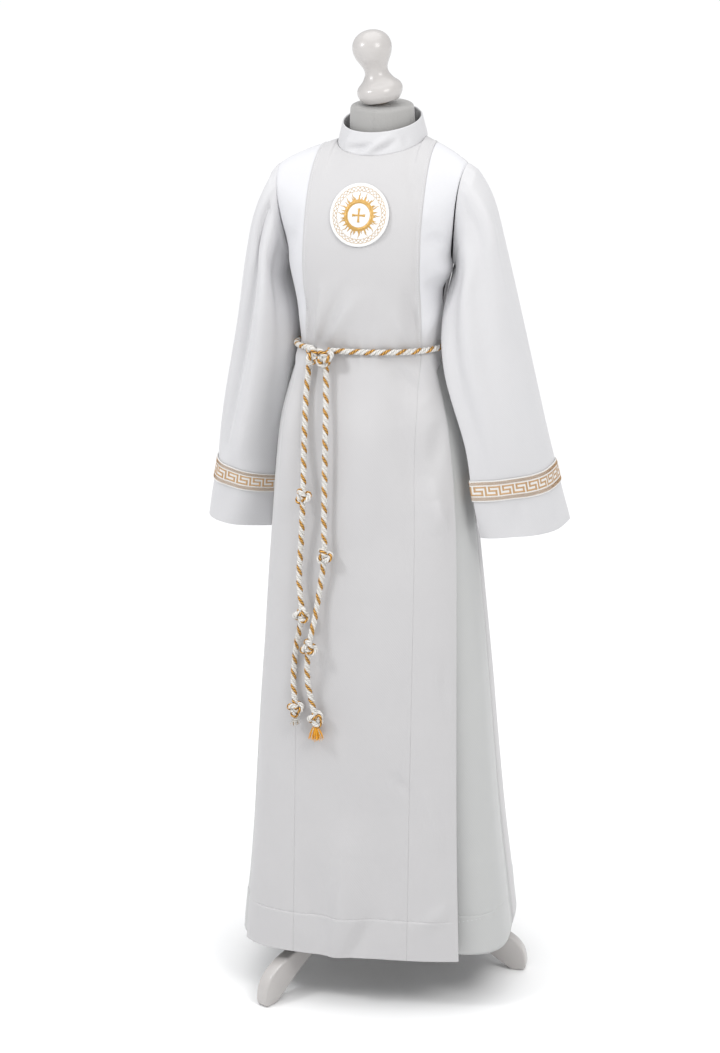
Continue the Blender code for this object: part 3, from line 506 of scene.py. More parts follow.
def sleeve_relief(side, along, angle):
    degrees = (np.degrees(angle) + 180) % 360 - 180
    round_it, down_it = degrees * ON_SLEEVE["across"], along * ON_SLEEVE["up"]
    high = SLEEVE_DEPTH * relief(SLEEVE_FOLDS[side], round_it, down_it)
    for n, middle in enumerate(CAP_TUCKS):
        reach, tall = 0.035 + 0.020 * (n % 3), 0.0019 + 0.0008 * (n % 2)
        high = high + tall * ridge(degrees - middle, TUCK_WIDE) * ridge(along, reach)
    edge = np.sin(np.radians(degrees) * 5 + side) * 0.0008 * smoothstep(0.90, 1.0, along)
    loose = 0.0006 * waves(round_it, down_it, 2.0 + side) * smoothstep(0.05, 0.3, along)
    return (high + loose) * smoothstep(-0.01, 0.10, along) + edge


# ---------------------------------------------------------------- materials
MADE = {}


class Finish:
    """A new Principled material and the ways to colour and roughen it."""

    def __init__(self, name, colour, roughness, metallic=0.0, sheen=0.0, coat=0.0):
        made = bpy.data.materials.new(name)
        made.use_nodes = True
        self.tree, self.shader = made.node_tree, made.node_tree.nodes["Principled BSDF"]
        settings = {
            "Base Color": (*colour, 1), "Roughness": roughness, "Metallic": metallic,
            "Sheen Weight": sheen, "Sheen Roughness": 0.4, "Coat Weight": coat, "Coat Roughness": 0.12,
        }
        for title, value in settings.items():
            self.shader.inputs[title].default_value = value
        MADE[name] = made

    def node(self, kind, output=None, **inputs):
        """A node with these inputs set, or joined to another node's output; and one of its outputs."""
        made = self.tree.nodes.new("ShaderNode" + kind)
        for title, value in inputs.items():
            socket = made.inputs[title.replace("_", " ")]
            if isinstance(value, bpy.types.NodeSocket):
                self.tree.links.new(value, socket)
            else:
                socket.default_value = value
        return made.outputs[output] if output else made

    def mapped(self, source, scale=1.0, turn=0.0):
        """Texture coordinates in metres times scale, turned about their Z."""
        where = self.node("TexCoord", source)
        return self.node("Mapping", "Vector", Vector=where, Scale=(scale,) * 3, Rotation=(0, 0, turn))

    def wave(self, vector, scale, distortion=0.0):
        return self.node("TexWave", "Fac", Vector=vector, Scale=scale, Distortion=distortion)

    def noise(self, vector, scale, detail):
        return self.node("TexNoise", "Fac", Vector=vector, Scale=scale, Detail=detail)

    def ramp(self, factor, dark, light):
        """A colour that runs from dark to light with the factor."""
        made = self.node("ValToRGB", Fac=factor)
        for element, colour in zip(made.color_ramp.elements, (dark, light)):
            element.color = (*colour, 1)
        return made.outputs["Color"]

    def mottled(self, dark, light):
        return self.ramp(self.noise(self.mapped("Object"), MOTTLE, 4), dark, light)

    def tinted(self, colour):
        self.tree.links.new(colour, self.shader.inputs["Base Color"])

    def bumped(self, heights, strength, distance):
        """A bump from each height in turn."""
        joined = {}
        for height in heights:
            bump = self.node("Bump", "Normal", Height=height, Strength=strength, Distance=distance, **joined)
            joined = {"Normal": bump}
        self.tree.links.new(bump, self.shader.inputs["Normal"])


MOTTLE = 16  # how fine the cloth's faint mottle is
CLOTH_TINTS = ((0.502, 0.495, 0.501), (0.532, 0.524, 0.528))
# the same cloth painted lighter for the sleeves and collar: painted light
PAINTED_LIGHT_TINTS = ((0.568, 0.565, 0.577), (0.598, 0.594, 0.605))
# the same cloth painted darker for the recessed sides and the pleat's hidden layers: painted shade
PAINTED_SHADE_TINTS = ((0.470, 0.474, 0.470), (0.500, 0.503, 0.498))
# lighter, bluer tints for the side fronts above the belt: painted sheen
PAINTED_SHEEN_TINTS = ((0.615, 0.615, 0.635), (0.645, 0.645, 0.665))
JERSEY_TINTS = ((0.325, 0.320, 0.311), (0.410, 0.403, 0.394))
PAINT_TINTS = ((0.480, 0.458, 0.446), (0.515, 0.495, 0.481))
BARE_WOOD_TINTS = ((0.50, 0.31, 0.17), (0.70, 0.50, 0.32))
FLOOR_TINTS = ((0.925, 0.925, 0.925), (0.935, 0.935, 0.935))

Weave = namedtuple("Weave", "name dark light roughness sheen ribs turn strength metallic")
WEAVES = table(  # ribs are for each metre; turn is the ribs' slant in radians
    Weave,
    ("alb_cloth", *CLOTH_TINTS, 0.62, 0.30, 1500, 0.9, 0.25, 0.0),
    ("alb_sleeve", *PAINTED_LIGHT_TINTS, 0.60, 0.35, 1500, 0.9, 0.25, 0.0),
    ("alb_side", *PAINTED_SHADE_TINTS, 0.64, 0.30, 1500, 0.9, 0.25, 0.0),
    ("alb_satin", *CLOTH_TINTS, 0.56, 0.35, 1500, -0.9, 0.25, 0.0),
    ("thread", (0.70, 0.71, 0.73), (0.76, 0.77, 0.79), 0.5, 0.3, 2400, 0.9, 0.25, 0.0),
    ("braid_ground", (0.66, 0.64, 0.61), (0.78, 0.77, 0.75), 0.55, 0.3, 1400, 0.8, 0.5, 0.0),
    ("braid_gold", (0.38, 0.22, 0.10), (0.64, 0.42, 0.23), 0.42, 0.2, 1300, 0.8, 0.6, 0.35),
    ("badge_ground", (0.70, 0.70, 0.70), (0.80, 0.80, 0.79), 0.5, 0.35, 1500, 0.3, 0.4, 0.0),
    ("badge_gold", (0.42, 0.24, 0.06), (0.68, 0.42, 0.13), 0.38, 0.2, 1500, 0.3, 0.6, 0.35),
)
Yarn = namedtuple("Yarn", "name dark light roughness metallic sheen twists")
# dark is the colour of the painted shade in the yarn's grooves
YARNS = table(
    Yarn,
    ("rope_white", (0.46, 0.44, 0.40), (0.80, 0.79, 0.77), 0.5, 0.0, 0.4, 140),
    ("rope_gold", (0.07, 0.025, 0.004), (0.80, 0.42, 0.085), 0.34, 0.40, 0.1, 130),
    ("tassel_gold", (0.78, 0.33, 0.01), (0.97, 0.50, 0.03), 0.5, 0.1, 0.3, 300),
)


def woven(row):
    """Twill: fine diagonal ribs, a little uneven, with a faint mottle."""
    finish = Finish(row.name, row.light, row.roughness, row.metallic, row.sheen)
    ribs = finish.wave(finish.mapped("UV", turn=row.turn), row.ribs / 6.28)
    across = finish.wave(finish.mapped("UV", turn=row.turn + math.pi / 2), row.ribs / 12)
    finish.tinted(finish.mottled(row.dark, row.light))
    finish.bumped([ribs, across], row.strength, 0.00012)
    return finish


def painted_sheen_above_belt(finish):
    """The side fronts' colour turns lighter above the belt: a painted sheen where the cloth is stretched
    flat.
    """
    apart = finish.node("SeparateXYZ", "Z", Vector=finish.node("TexCoord", "Object"))
    height = finish.node("MapRange", "Result", Value=apart, From_Min=WAIST_Z - 0.05, From_Max=WAIST_Z + 0.05)
    blend = finish.node("Mix")
    blend.data_type = "RGBA"
    for source, title in (
        (height, "Factor"), (finish.mottled(*CLOTH_TINTS), "A"), (finish.mottled(*PAINTED_SHEEN_TINTS), "B"),
    ):
        finish.tree.links.new(source, blend.inputs[title])
    finish.tinted(blend.outputs["Result"])


def yarn(row):
    """Twisted yarn: slanting grooves round a strand, with painted shade in the grooves."""
    finish = Finish(row.name, row.light, row.roughness, row.metallic, row.sheen)
    groove = finish.wave(finish.mapped("UV", turn=-0.75), row.twists, 1.2)
    # painted shade: the colour runs to dark in the grooves
    finish.tinted(finish.ramp(groove, row.dark, row.light))
    finish.bumped([groove], 0.5, 0.0003)


def jersey():
    finish = Finish("jersey", (0.34, 0.35, 0.34), 0.92, sheen=0.35)
    flat = finish.mapped("UV")
    fleck = finish.noise(flat, 900, 2)
    finish.tinted(finish.ramp(fleck, *JERSEY_TINTS))
    finish.bumped([finish.wave(flat, 140, 0.6), fleck], 0.35, 0.0004)


def paint():
    finish = Finish("painted_wood", (0.52, 0.50, 0.49), 0.36, coat=0.45)
    where = finish.mapped("Object")
    finish.tinted(finish.ramp(finish.noise(where, 22, 3), *PAINT_TINTS))
    finish.bumped([finish.noise(where, 45, 2)], 0.04, 0.0003)


def bare_wood():
    finish = Finish("bare_wood", (0.62, 0.42, 0.25), 0.65)
    grain = finish.wave(finish.mapped("Object", turn=0.2), 90, 4.0)
    finish.tinted(finish.ramp(grain, *BARE_WOOD_TINTS))
    finish.bumped([grain], 0.2, 0.0003)


def pale_floor():
    finish = Finish("pale_floor", (0.93, 0.93, 0.93), 0.9)
    finish.tinted(finish.ramp(finish.noise(finish.mapped("Object"), 3, 2), *FLOOR_TINTS))


def materials():
    for row in WEAVES:
        finish = woven(row)
        if row.name == "alb_satin":
            painted_sheen_above_belt(finish)
    for row in YARNS:
        yarn(row)
    jersey()
    paint()
    bare_wood()
    pale_floor()


# ---------------------------------------------------------------- pieces
def placed(points):
    return np.asarray(points, float) + AXIS


def piece(name, points, faces, finishes, slot, uvs=None, marks=None):
    """A smooth mesh piece that rides with the object. marks say which finish each face has."""
    mesh = bpy.data.meshes.new(name)
    mesh.from_pydata(placed(points).reshape(-1, 3).tolist(), [], faces)
    for finish in finishes:
        mesh.materials.append(MADE[finish])
    if marks is not None:
        mesh.polygons.foreach_set("material_index", np.asarray(marks, np.int32))
    if uvs is not None:
        layer = mesh.uv_layers.new(name="metres")
        corners = np.empty(len(mesh.loops), np.int32)
        mesh.loops.foreach_get("vertex_index", corners)
        layer.data.foreach_set("uv", np.asarray(uvs, np.float32).reshape(-1, 2)[corners].ravel())
    mesh.shade_smooth()
    thing = add_object(name, mesh)
    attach(thing, "root")
    return thing


def grid_faces(rows, columns, ring=False):
    j, i = np.meshgrid(np.arange(rows - 1), np.arange(columns if ring else columns - 1), indexing="ij")
    k = (i + 1) % columns
    low, high = j * columns, (j + 1) * columns
    quads = np.stack([low + i, low + k, high + k, high + i], axis=-1)
    return quads.reshape(-1, 4).tolist()


def closed_faces(rows, columns):
    """The faces of a tube whose ends are closed."""
    last = (rows - 1) * columns
    lids = [tuple(reversed(range(columns))), tuple(range(last, last + columns))]
    return grid_faces(rows, columns, True) + lids


def normals(points, ring=False):
    """The outward unit normals of a grid whose rows go up and whose points go round to +X."""
    wide = np.concatenate([points[:, -1:], points, points[:, :1]], axis=1) if ring else points
    across = np.gradient(wide, axis=1)
    across = across[:, 1:-1] if ring else across
    return unit(np.cross(across, np.gradient(points, axis=0)))


def tidy_normals(points):
    """Normals of a grid some of whose columns meet, taken from the nearest good column."""
    found = normals(points)
    bad = np.linalg.norm(found, axis=-1) < 0.5
    for i in list(range(1, points.shape[1])) + list(range(points.shape[1] - 2, -1, -1)):
        near = i - 1 if i > 0 and not bad[:, i - 1].all() else min(i + 1, points.shape[1] - 1)
        swap = bad[:, i] & ~bad[:, near]
        found[swap, i] = found[swap, near]
        bad[:, i] &= ~swap
    return found


def metres(points):
    """Flat coordinates of a grid: along its rows and up its columns."""
    u = np.linalg.norm(np.diff(points, axis=1, prepend=points[:, :1]), axis=-1)
    v = np.linalg.norm(np.diff(points, axis=0, prepend=points[:1]), axis=-1)
    return np.stack([np.cumsum(u, axis=1), np.cumsum(v, axis=0)], axis=-1)


def cloth(name, points, high, finish, slot, thick=CLOTH, ring=False, soften=0, outward=None):
    """A thin sheet on the grid of points, raised by high along outward, with its wall inside."""
    outward = normals(points, ring) if outward is None else outward
    points = points + outward * high[..., None]
    thing = piece(name, points, grid_faces(*points.shape[:2], ring), [finish], slot, metres(points))
    wall = thing.modifiers.new("Wall", "SOLIDIFY")
    wall.thickness = thick
    wall.offset = -1
    if soften:
        round_off = thing.modifiers.new("Rounded", "SUBSURF")
        round_off.levels = round_off.render_levels = soften
    return thing


class Bits:
    """Gathers many small shapes, such as stitches, into one mesh."""

    def __init__(self):
        self.points, self.faces, self.uvs, self.marks, self.count = [], [], [], [], 0

    def add(self, points, faces, uvs=None, mark=0):
        points = np.asarray(points, float).reshape(-1, 3)
        self.points.append(points)
        self.faces += [tuple(i + self.count for i in face) for face in faces]
        self.uvs.append(np.zeros((len(points), 2)) if uvs is None else np.asarray(uvs).reshape(-1, 2))
        self.marks += [mark] * len(faces)
        self.count += len(points)

    def piece(self, name, finishes, slot):
        points, uvs = np.concatenate(self.points), np.concatenate(self.uvs)
        return piece(name, points, self.faces, finishes, slot, uvs, self.marks)


Stitching = namedtuple("Stitching", "length gap wide high")
PANEL_EDGE = Stitching(0.0024, 0.0010, 0.00055, 0.00028)
HEM_PICKS = Stitching(0.0016, 0.0044, 0.0005, 0.00025)
BRAID_EDGE = Stitching(0.0022, 0.0012, 0.0005, 0.0003)
BADGE_TWIST = Stitching(0.0014, 0.0005, 0.00085, 0.00035)
BADGE_RINGS = Stitching(0.0010, 0.0011, 0.0006, 0.0003)
FORM_SEAM = Stitching(0.0016, 0.0016, 0.0006, 0.0003)

# A stitch is a slim tube of two four-pointed rings between two single points.
STITCH_FACES = [(0, 1 + k, 1 + (k + 1) % 4) for k in range(4)]
STITCH_FACES += [(1 + k, 5 + k, 5 + (k + 1) % 4, 1 + (k + 1) % 4) for k in range(4)]
STITCH_FACES += [(9, 5 + (k + 1) % 4, 5 + k) for k in range(4)]


def stitch(bits, start, end, out, wide, high):
    """One thread from start to end, lying on a surface that faces out."""
    along = end - start
    side = unit(np.cross(along, out)) * wide / 2
    ring = [side, out * high, -side, -out * high / 2]
    points = [start]
    for part in (0.2, 0.8):
        points += [start + along * part + r for r in ring]
    points.append(end)
    uvs = [(0, 0)] + [(0.0004 * k, part) for part in (0.0006, 0.002) for k in range(4)] + [(0, 0.003)]
    bits.add(points, STITCH_FACES, uvs)


def stitched_line(bits, points, outs, length, gap, wide, high):
    """Stitches along a line of points on a surface."""
    along = run_along(points)
    for start in np.arange(gap, along[-1] - length, length + gap):
        first, last = at_each(start, along, points), at_each(start + length, along, points)
        stitch(bits, first, last, unit(at_each(start, along, outs)), wide, high)


def stitched_on(bits, surface, u, v, off, length, gap, wide, high):
    """Stitches along a line of a surface's own coordinates."""
    line = surface(u, v, off)
    stitched_line(bits, line, surface(u, v, off + MM) - line, length, gap, wide, high)


# ---------------------------------------------------------------- front, back and sides
def spaced(low, high, step, extra=()):
    """Levels about a step apart, with the extra ones, in order."""
    values = np.concatenate([np.linspace(low, high, round((high - low) / step) + 1), extra])
    return np.unique(np.round(values, 6))


HEM_LINE = HEM_Z + HEM_DEEP
HEM_ROWS = [HEM_Z + 0.0008, HEM_Z + 0.002]
HEM_ROWS += [HEM_LINE + off * MM for off in (-2, -1, -0.4, 0, 0.4, 1, 2)]
LOW_ROWS = spaced(HEM_Z, CHEST_Z, 0.0034, HEM_ROWS)
RISES = np.linspace(0, 0.9995, 52)[1:]


def edge_spaced(count, edge):
    """0 to 1, with closer steps near both ends."""
    part = np.linspace(0, 1, count)
    return part - edge * np.sin(2 * math.pi * part) / (2 * math.pi)


def hem_relief(z, s):
    """The turned-up hem: doubled cloth, a small groove at its stitches and faint puckers."""
    doubled = 0.0006 * (1 - smoothstep(HEM_LINE - 0.001, HEM_LINE + 0.001, z))
    groove = -0.0008 * ridge(z - HEM_LINE, 0.0011)
    pucker = 0.0005 * np.sin(s * 330 + 2 * np.sin(s * 61)) * ridge(z - HEM_LINE, 0.006)
    sway = 0.0018 * np.sin(s * 21 + 1.0) * (1 - smoothstep(HEM_Z, HEM_Z + 0.09, z))
    return doubled + groove + pucker + sway


def gathered(x, z, tall, turns, drift):
    """The belt draws the cloth in: small gathers just above and below the rope."""
    return tall * np.sin(x * turns + 3 * np.sin(x * drift)) * ridge(z - WAIST_Z, 0.017)


def front_relief(points):
    x, z = points[..., 0], points[..., 2]
    gathers = gathered(x, z, 0.0011, 260, 47) - 0.0012 * ridge(z - WAIST_Z, 0.006)
    return FRONT_DEPTH * relief(FRONT_FOLDS, x, z) + gathers + 0.0008 * waves(x, z, 1.0) + hem_relief(z, x)


def edge_stitched(z):
    """The panel's edges stand out down to the belt and only show through below it."""
    return 0.08 + 0.92 * smoothstep(WAIST_Z - 0.03, WAIST_Z, z)


def front_centre():
    """c runs from -1 to 1 across the panel, with closer steps at its edges."""
    c = 2 * edge_spaced(59, 0.75) - 1
    edge = 1 - SEAM / 2 / PANEL_HALF
    low = body(LOW_ROWS[:, None], angle_at(LOW_ROWS[:, None], c[None] * edge * PANEL_HALF))
    high = yoke(c[None] * edge * PANEL_SHARE, RISES[:, None])
    points = np.concatenate([low, high])
    away = (1 - np.abs(c))[None] * PANEL_HALF
    raised = 0.0007 * ridge(away - 0.0020, 0.0024) - 0.0004 * ridge(away - 0.0052, 0.0010)
    lap = edge_stitched(points[..., 2]) * raised
    thing = cloth("front_panel", points, front_relief(points) + lap, "alb_cloth", "alb_cloth")
    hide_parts("front_centre")


FOLD_TURNS, LIP_REACH = (60, 30, 0, -30, -60, -90), 0.004  # degrees round the fold; how far in it ends
ARMHOLE_SHARE = 1 - 0.0006


def pleat_lip(side, z, fold, seam, open_below):
    """Columns that turn round the pleat's fold. Above the belt they all lie at the side seam."""
    lip = []
    for turn in np.radians(FOLD_TURNS):
        reach = np.abs(angle_at(z, side * (fold - PLEAT_ROUND * (1 - math.cos(turn)))))
        angle = reach * open_below + seam * (1 - open_below)
        lip.append(body(z, side * angle, PLEAT_ROUND * (1 - math.sin(turn)) * open_below)[:, 0])
    reach = np.abs(angle_at(z, side * (fold - PLEAT_ROUND - LIP_REACH)))
    angle = reach * open_below + seam * (1 - open_below)
    lip.append(body(z, side * angle, 2 * PLEAT_ROUND * open_below)[:, 0])
    return np.stack(lip, axis=1)


def side_front_relief(points, c):
    """Folds that fade toward the pleat's fold, and the seams' grooves. c runs from 0 to 1 across."""
    z = points[..., 2]
    away = np.abs(np.abs(points[..., 0]) - PANEL_HALF)
    near_seam = (np.arange(points.shape[1]) < 12)[None]
    high = front_relief(points) - 0.0002 * edge_stitched(z) * ridge(away, 0.0016) * near_seam
    closing = smoothstep(PLEAT_TOP - 0.02, PLEAT_TOP + 0.02, z)
    fade = smoothstep(0, 0.45, 1 - c)[None]
    fade = fade + (1 - fade) * closing
    return high * fade - 0.0006 * ridge(1 - c, 0.03)[None] * closing


def side_front(side):
    """From the panel's seam to the armhole; below the belt its outer edge is the pleat's fold."""
    name = SIDES[side]
    z = LOW_ROWS[:, None]
    start = np.abs(angle_at(z, side * (PANEL_HALF + SEAM / 2)))
    seam = seam_angle(z)
    fold = np.minimum(column(PLEAT, "z", name, z), column(BODY, "z", name, z) - 0.0002)
    open_below = 1 - smoothstep(PLEAT_TOP - 0.012, PLEAT_TOP + 0.012, z)
    flat_end = np.abs(angle_at(z, side * (fold - PLEAT_ROUND)))
    end = flat_end * open_below + seam * (1 - open_below)
    c = edge_spaced(30, 0.6)[None]
    low = body(z, side * (start + (end - start) * c))
    lip = pleat_lip(side, z, fold, seam, open_below)
    first = PANEL_SHARE * (1 + SEAM / 2 / PANEL_HALF)
    across = first + (ARMHOLE_SHARE - first) * c
    high = yoke(side * across, RISES[:, None])
    high = np.concatenate([high, np.repeat(high[:, -1:], lip.shape[1], axis=1)], axis=1)
    points = np.concatenate([np.concatenate([low, lip], axis=1), high])
    high_by = side_front_relief(points, np.concatenate([c[0], np.ones(lip.shape[1])]))
    if side < 0:
        points, high_by = points[:, ::-1], high_by[:, ::-1]
    outward = tidy_normals(points)
    # the side fronts' material carries a painted sheen above the belt
    thing = cloth(f"side_front_{name}", points, high_by, "alb_satin", "alb_cloth", outward=outward)
    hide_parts(f"front_side_{name}")


def side_relief(points, side):
    y, z = points[..., 1], points[..., 2]
    s = y - 0.02 * side
    return relief(SIDE_FOLDS, s, z) + 0.0009 * waves(s, z, 3.0 + side) + hem_relief(z, s + 0.1)


TUCKED = {1: 1.5, -1: 0.8}  # how soon the side comes out from behind the pleat; 1 is evenly
POCKET = {1: 1.0, -1: 0.35}  # how far behind the fold the side starts, as a part of the inset


def side_panel(side):
    """The pleat's hidden layers and the side, from hem to belt."""
    name = SIDES[side]
    z = spaced(HEM_Z + 0.001, PLEAT_TOP + 0.006, 0.0040, HEM_ROWS[2:])[:, None]
    fold = column(PLEAT, "z", name, z) - 0.002
    inset = POCKET[side] * column(PLEAT, "z", "inset", z)
    inner = PANEL_HALF - PLEAT_BACK
    outward = 2 * CLOTH + SEAM + PLEAT_AIR
    behind = outward + PLEAT_LAYER
    deep = np.maximum(inset, behind)
    at_fold, at_inner, at_turn = (np.abs(angle_at(z, side * x)) for x in (fold, inner, inner - 0.0015))
    there, toward_seam = np.linspace(0, 1, 14), np.linspace(0, 1, 33)[1:]
    route = [(at_fold - 0.02 + (at_inner - at_fold + 0.02) * part, outward) for part in there]
    route.append((at_turn, (outward + behind) / 2))
    route += [(at_inner + (at_fold - at_inner) * part, behind + (deep - behind) * part) for part in there]
    hidden = len(route)
    seam = seam_angle(z)
    route += [(at_fold + (seam - at_fold) * part, deep * (1 - part) ** TUCKED[side]) for part in toward_seam]
    points = np.concatenate([body(z, side * angle, depth) for angle, depth in route], axis=1)
    follow = np.minimum(FRONT_DEPTH * relief(FRONT_FOLDS, points[..., 0], points[..., 2]), 0)
    for i, (angle, depth) in enumerate(route[:hidden]):
        points[:, i] = body(z, side * angle, depth - follow[:, i : i + 1])[:, 0]
    fade = np.concatenate([np.zeros(hidden), 1 - ridge(1 - toward_seam, 0.22)])
    sunk = np.concatenate([np.zeros(hidden), 0.0010 * ridge(1 - toward_seam, 0.035)])
    high = side_relief(points, side) * fade[None] - sunk[None]
    if side < 0:
        points, high = points[:, ::-1], high[:, ::-1]
    # the sides' darker copy of the cloth: painted shade in the pleat's recess
    thing = cloth(f"side_panel_cloth_{name}", points, high, "alb_side", "alb_cloth")
    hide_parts(f"side_panel_{name}")


def back():
    c = 2 * edge_spaced(101, 0.5) - 1
    rows = spaced(HEM_Z, CHEST_Z, 0.0050, HEM_ROWS)
    low = body(rows[:, None], math.pi + c[None] * seam_angle(rows[:, None], back=True))
    high = yoke(-c[None] * 0.9994, RISES[::2][:, None], back=True)
    points = np.concatenate([low, high])
    x, y, z = points[..., 0], points[..., 1], points[..., 2]
    middle = smoothstep(0.0, 0.04, y)
    gathers = gathered(x, z, 0.0014, 210, 39)
    by = relief(BACK_FOLDS, x, z) * middle + 0.0009 * waves(x, z, 5.0) + gathers + hem_relief(z, x + 0.3)
    by = by * (1 - ridge(1 - np.abs(c), 0.07))[None] - 0.0010 * ridge(1 - np.abs(c), 0.012)[None]
    thing = cloth("back_panel", points, by, "alb_cloth", "alb_cloth")
    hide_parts("back")


# ---------------------------------------------------------------- collar and sleeves
COLLAR_FOLDS = folds(  # round the neck from its front, and up the collar
    (-30, 6, -6, 11, 3, 1.6, -1.6),
    (-12, 4, 16, 17, 3.4, 1.6, 1.2),
    (6, 5, 26, 12, 2.6, 1.5, -1.2),
    (-46, 4, -36, 18, 4, 1.4, 0.8),
    (48, 4, 40, 16, 4, 1.4, -0.7),
    (-140, 4, -128, 16, 4, 1.4, -0.8),
    (130, 4, 120, 18, 4, 1.4, -0.8),
)


def collar():
    part = np.linspace(0, 1, 15)[:, None]
    angle = full_circle(132)
    tall = COLLAR_TALL_FRONT + (COLLAR_TALL_BACK - COLLAR_TALL_FRONT) * (1 - np.cos(angle)) / 2
    closer = 0.0002 + COLLAR_TAPER * part
    across = (NECK_HALF_WIDTH - closer) * np.sin(angle)
    y = NECK_Y - (NECK_HALF_DEPTH - closer) * np.cos(angle)
    z = NECK_Z + (y - NECK_Y) * NECK_RISE + across * NECK_LIST - 0.0008 + (tall + 0.0020) * part
    points = stacked(NECK_X + across, y, z)
    around = ((np.degrees(angle) + 180) % 360 - 180) / 360 * 0.35
    high = COLLAR_DEPTH * relief(COLLAR_FOLDS, around + 0 * part, part * tall)
    high = high + 0.0004 * np.sin(3 * angle + 0.6) * part + 0.0003 * waves(around, part * 0.1, 7.0)
    # the collar takes the sleeves' lighter copy of the cloth: painted light
    thing = cloth("standing_collar", points, high, "alb_sleeve", "alb_cloth", COLLAR_CLOTH, True, soften=1)
    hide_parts("collar")


def arm(side):
    name = SIDES[side]
    along = spaced(0, 1, 0.0075, (0.004, 0.011, 0.9985, 0.9955))[::-1][:, None]
    angle = full_circle(120)
    points = sleeve(side, along, angle)
    high = sleeve_relief(side, along, angle) - 0.0005 * ridge(along, 0.006)
    if side > 0:
        points, high = points[:, ::-1], high[:, ::-1]
    thing = cloth(f"bell_sleeve_{name}", points, high, "alb_sleeve", "alb_cloth", ring=True)
    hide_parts(f"sleeve_{name}")


# ---------------------------------------------------------------- braid
KEY_UNIT, KEY_PITCH, KEY_STROKE, KEY_RISE = 0.0029, 6.2, 0.0026, 0.00035
BORDER_FEET, BORDER_ROWS = (0.0020, 0.0252), 5  # the twilled borders, up the braid
TWILL_GAP, TWILL_LONG, TWILL_TALL, TWILL_WIDE, TWILL_RISE = 0.0012, 0.0008, 0.0010, 0.0006, 0.00035
SEWN_AT = (0.0008, 0.0312)
# One turn of the running key, in key units: along the braid and up it.
KEY_TURN = ((0.0, 0.0), (4.6, 0.0), (4.6, 2.0), (1.6, 2.0), (1.6, 4.0), (6.2, 4.0), (6.2, 0.0))


class OnBraid:
    """Maps metres round and up a cuff's braid onto the sleeve."""

    def __init__(self, side):
        self.side = side
        turn = np.linspace(0, 2 * math.pi, 721)
        middle = (BRAID_FROM + BRAID_TO) / 2
        ring = sleeve(side, middle, turn, sleeve_relief(side, middle, turn))
        self.turn = turn
        self.metres = run_along(ring)
        self.girth = self.metres[-1]

    def __call__(self, round_it, up, off):
        angle = np.interp(np.asarray(round_it) % self.girth, self.metres, self.turn)
        along = BRAID_TO - np.asarray(up) / BRAID_WIDE * (BRAID_TO - BRAID_FROM)
        lift = sleeve_relief(self.side, along, angle) + LIE + off
        return sleeve(self.side, along, angle, lift)


def ribbon(bits, surface, line, half, high, step=0.0022, taper=((0, 1), (1, 1))):
    """A flat raised strip along a line of two surface coordinates."""
    line = np.asarray(line, float)
    along = run_along(line)
    count = max(2, int(along[-1] / step) + 2)
    where = np.linspace(0, along[-1], count)
    centre = at_each(where, along, line)
    direction = unit(np.gradient(centre, axis=0))
    aside = np.stack([-direction[:, 1], direction[:, 0]], axis=1)
    width = half * np.maximum(np.interp(where / along[-1], *taper), 0.02)
    profile = ((-1, -0.0002), (-0.78, high), (0, high * 1.15), (0.78, high), (1, -0.0002))
    rows = []
    for share, off in profile:
        spot = centre + aside * (share * width)[:, None]
        rows.append(surface(spot[:, 0], spot[:, 1], off))
    uvs = stacked(where[:, None], half * np.array([share for share, _ in profile]))
    faces = [tuple(reversed(face)) for face in grid_faces(count, len(profile))]
    bits.add(np.stack(rows, axis=1), faces, uvs)


def braid(side):
    """A white woven band with a running key between two twilled borders, sewn on at its edges."""
    name, surface = SIDES[side], OnBraid(side)
    turn = full_circle(150)
    up = np.array([0.0, 0.0006, 0.005, 0.010, 0.016, 0.022, 0.027, 0.0314, 0.0320])[:, None]
    along = BRAID_TO - up / BRAID_WIDE * (BRAID_TO - BRAID_FROM)
    points = sleeve(side, along, turn, sleeve_relief(side, along, turn) + LIE + BRAID)
    if side > 0:
        points = points[:, ::-1]
    band = cloth(f"braid_band_{name}", points, np.zeros(points.shape[:2]), "braid_ground", "braid",
                 BRAID, ring=True)
    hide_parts(f"braid_{name}")

    def on_band(u, v, off):
        return surface(u, v, BRAID + off)

    bits = Bits()
    turns = round(surface.girth / (KEY_UNIT * KEY_PITCH))
    unit_x = surface.girth / turns / KEY_PITCH
    foot = (BRAID_WIDE - 4 * KEY_UNIT) / 2
    for n in range(turns):
        corners = [(-side * (x + n * KEY_PITCH) * unit_x, foot + y * KEY_UNIT) for x, y in KEY_TURN]
        for a, b in zip(corners, corners[1:]):
            a, b = np.array(a), np.array(b)
            over = (b - a) / np.linalg.norm(b - a) * KEY_STROKE / 2
            ribbon(bits, on_band, [a - over, b + over], KEY_STROKE / 2, KEY_RISE)
    for low in BORDER_FEET:
        for start in np.arange(0, surface.girth - TWILL_GAP / 2, TWILL_GAP):
            for row in range(BORDER_ROWS):
                at, lift = start + TWILL_GAP / 2 * (row % 2), low + TWILL_TALL * row
                a, b = on_band(at, lift, 0.0001), on_band(at + TWILL_LONG, lift + TWILL_TALL, 0.0001)
                stitch(bits, a, b, unit(on_band(at, lift, MM) - a), TWILL_WIDE, TWILL_RISE)
    bits.piece(f"braid_figure_{name}", ["braid_gold"], "braid")
    sewn = Bits()
    round_it = np.linspace(0, surface.girth, 400)
    for up_at in SEWN_AT:
        stitched_on(sewn, surface, round_it, up_at, BRAID, *BRAID_EDGE)
    sewn.piece(f"braid_stitches_{name}", ["thread"], "braid")


# ---------------------------------------------------------------- badge
def on_badge(x, z, off):
    return front_at(BADGE_X + np.asarray(x), BADGE_Z + np.asarray(z), LIE + off)


def polar(radius, angle):
    return np.stack([radius * np.cos(angle), radius * np.sin(angle)], axis=-1)


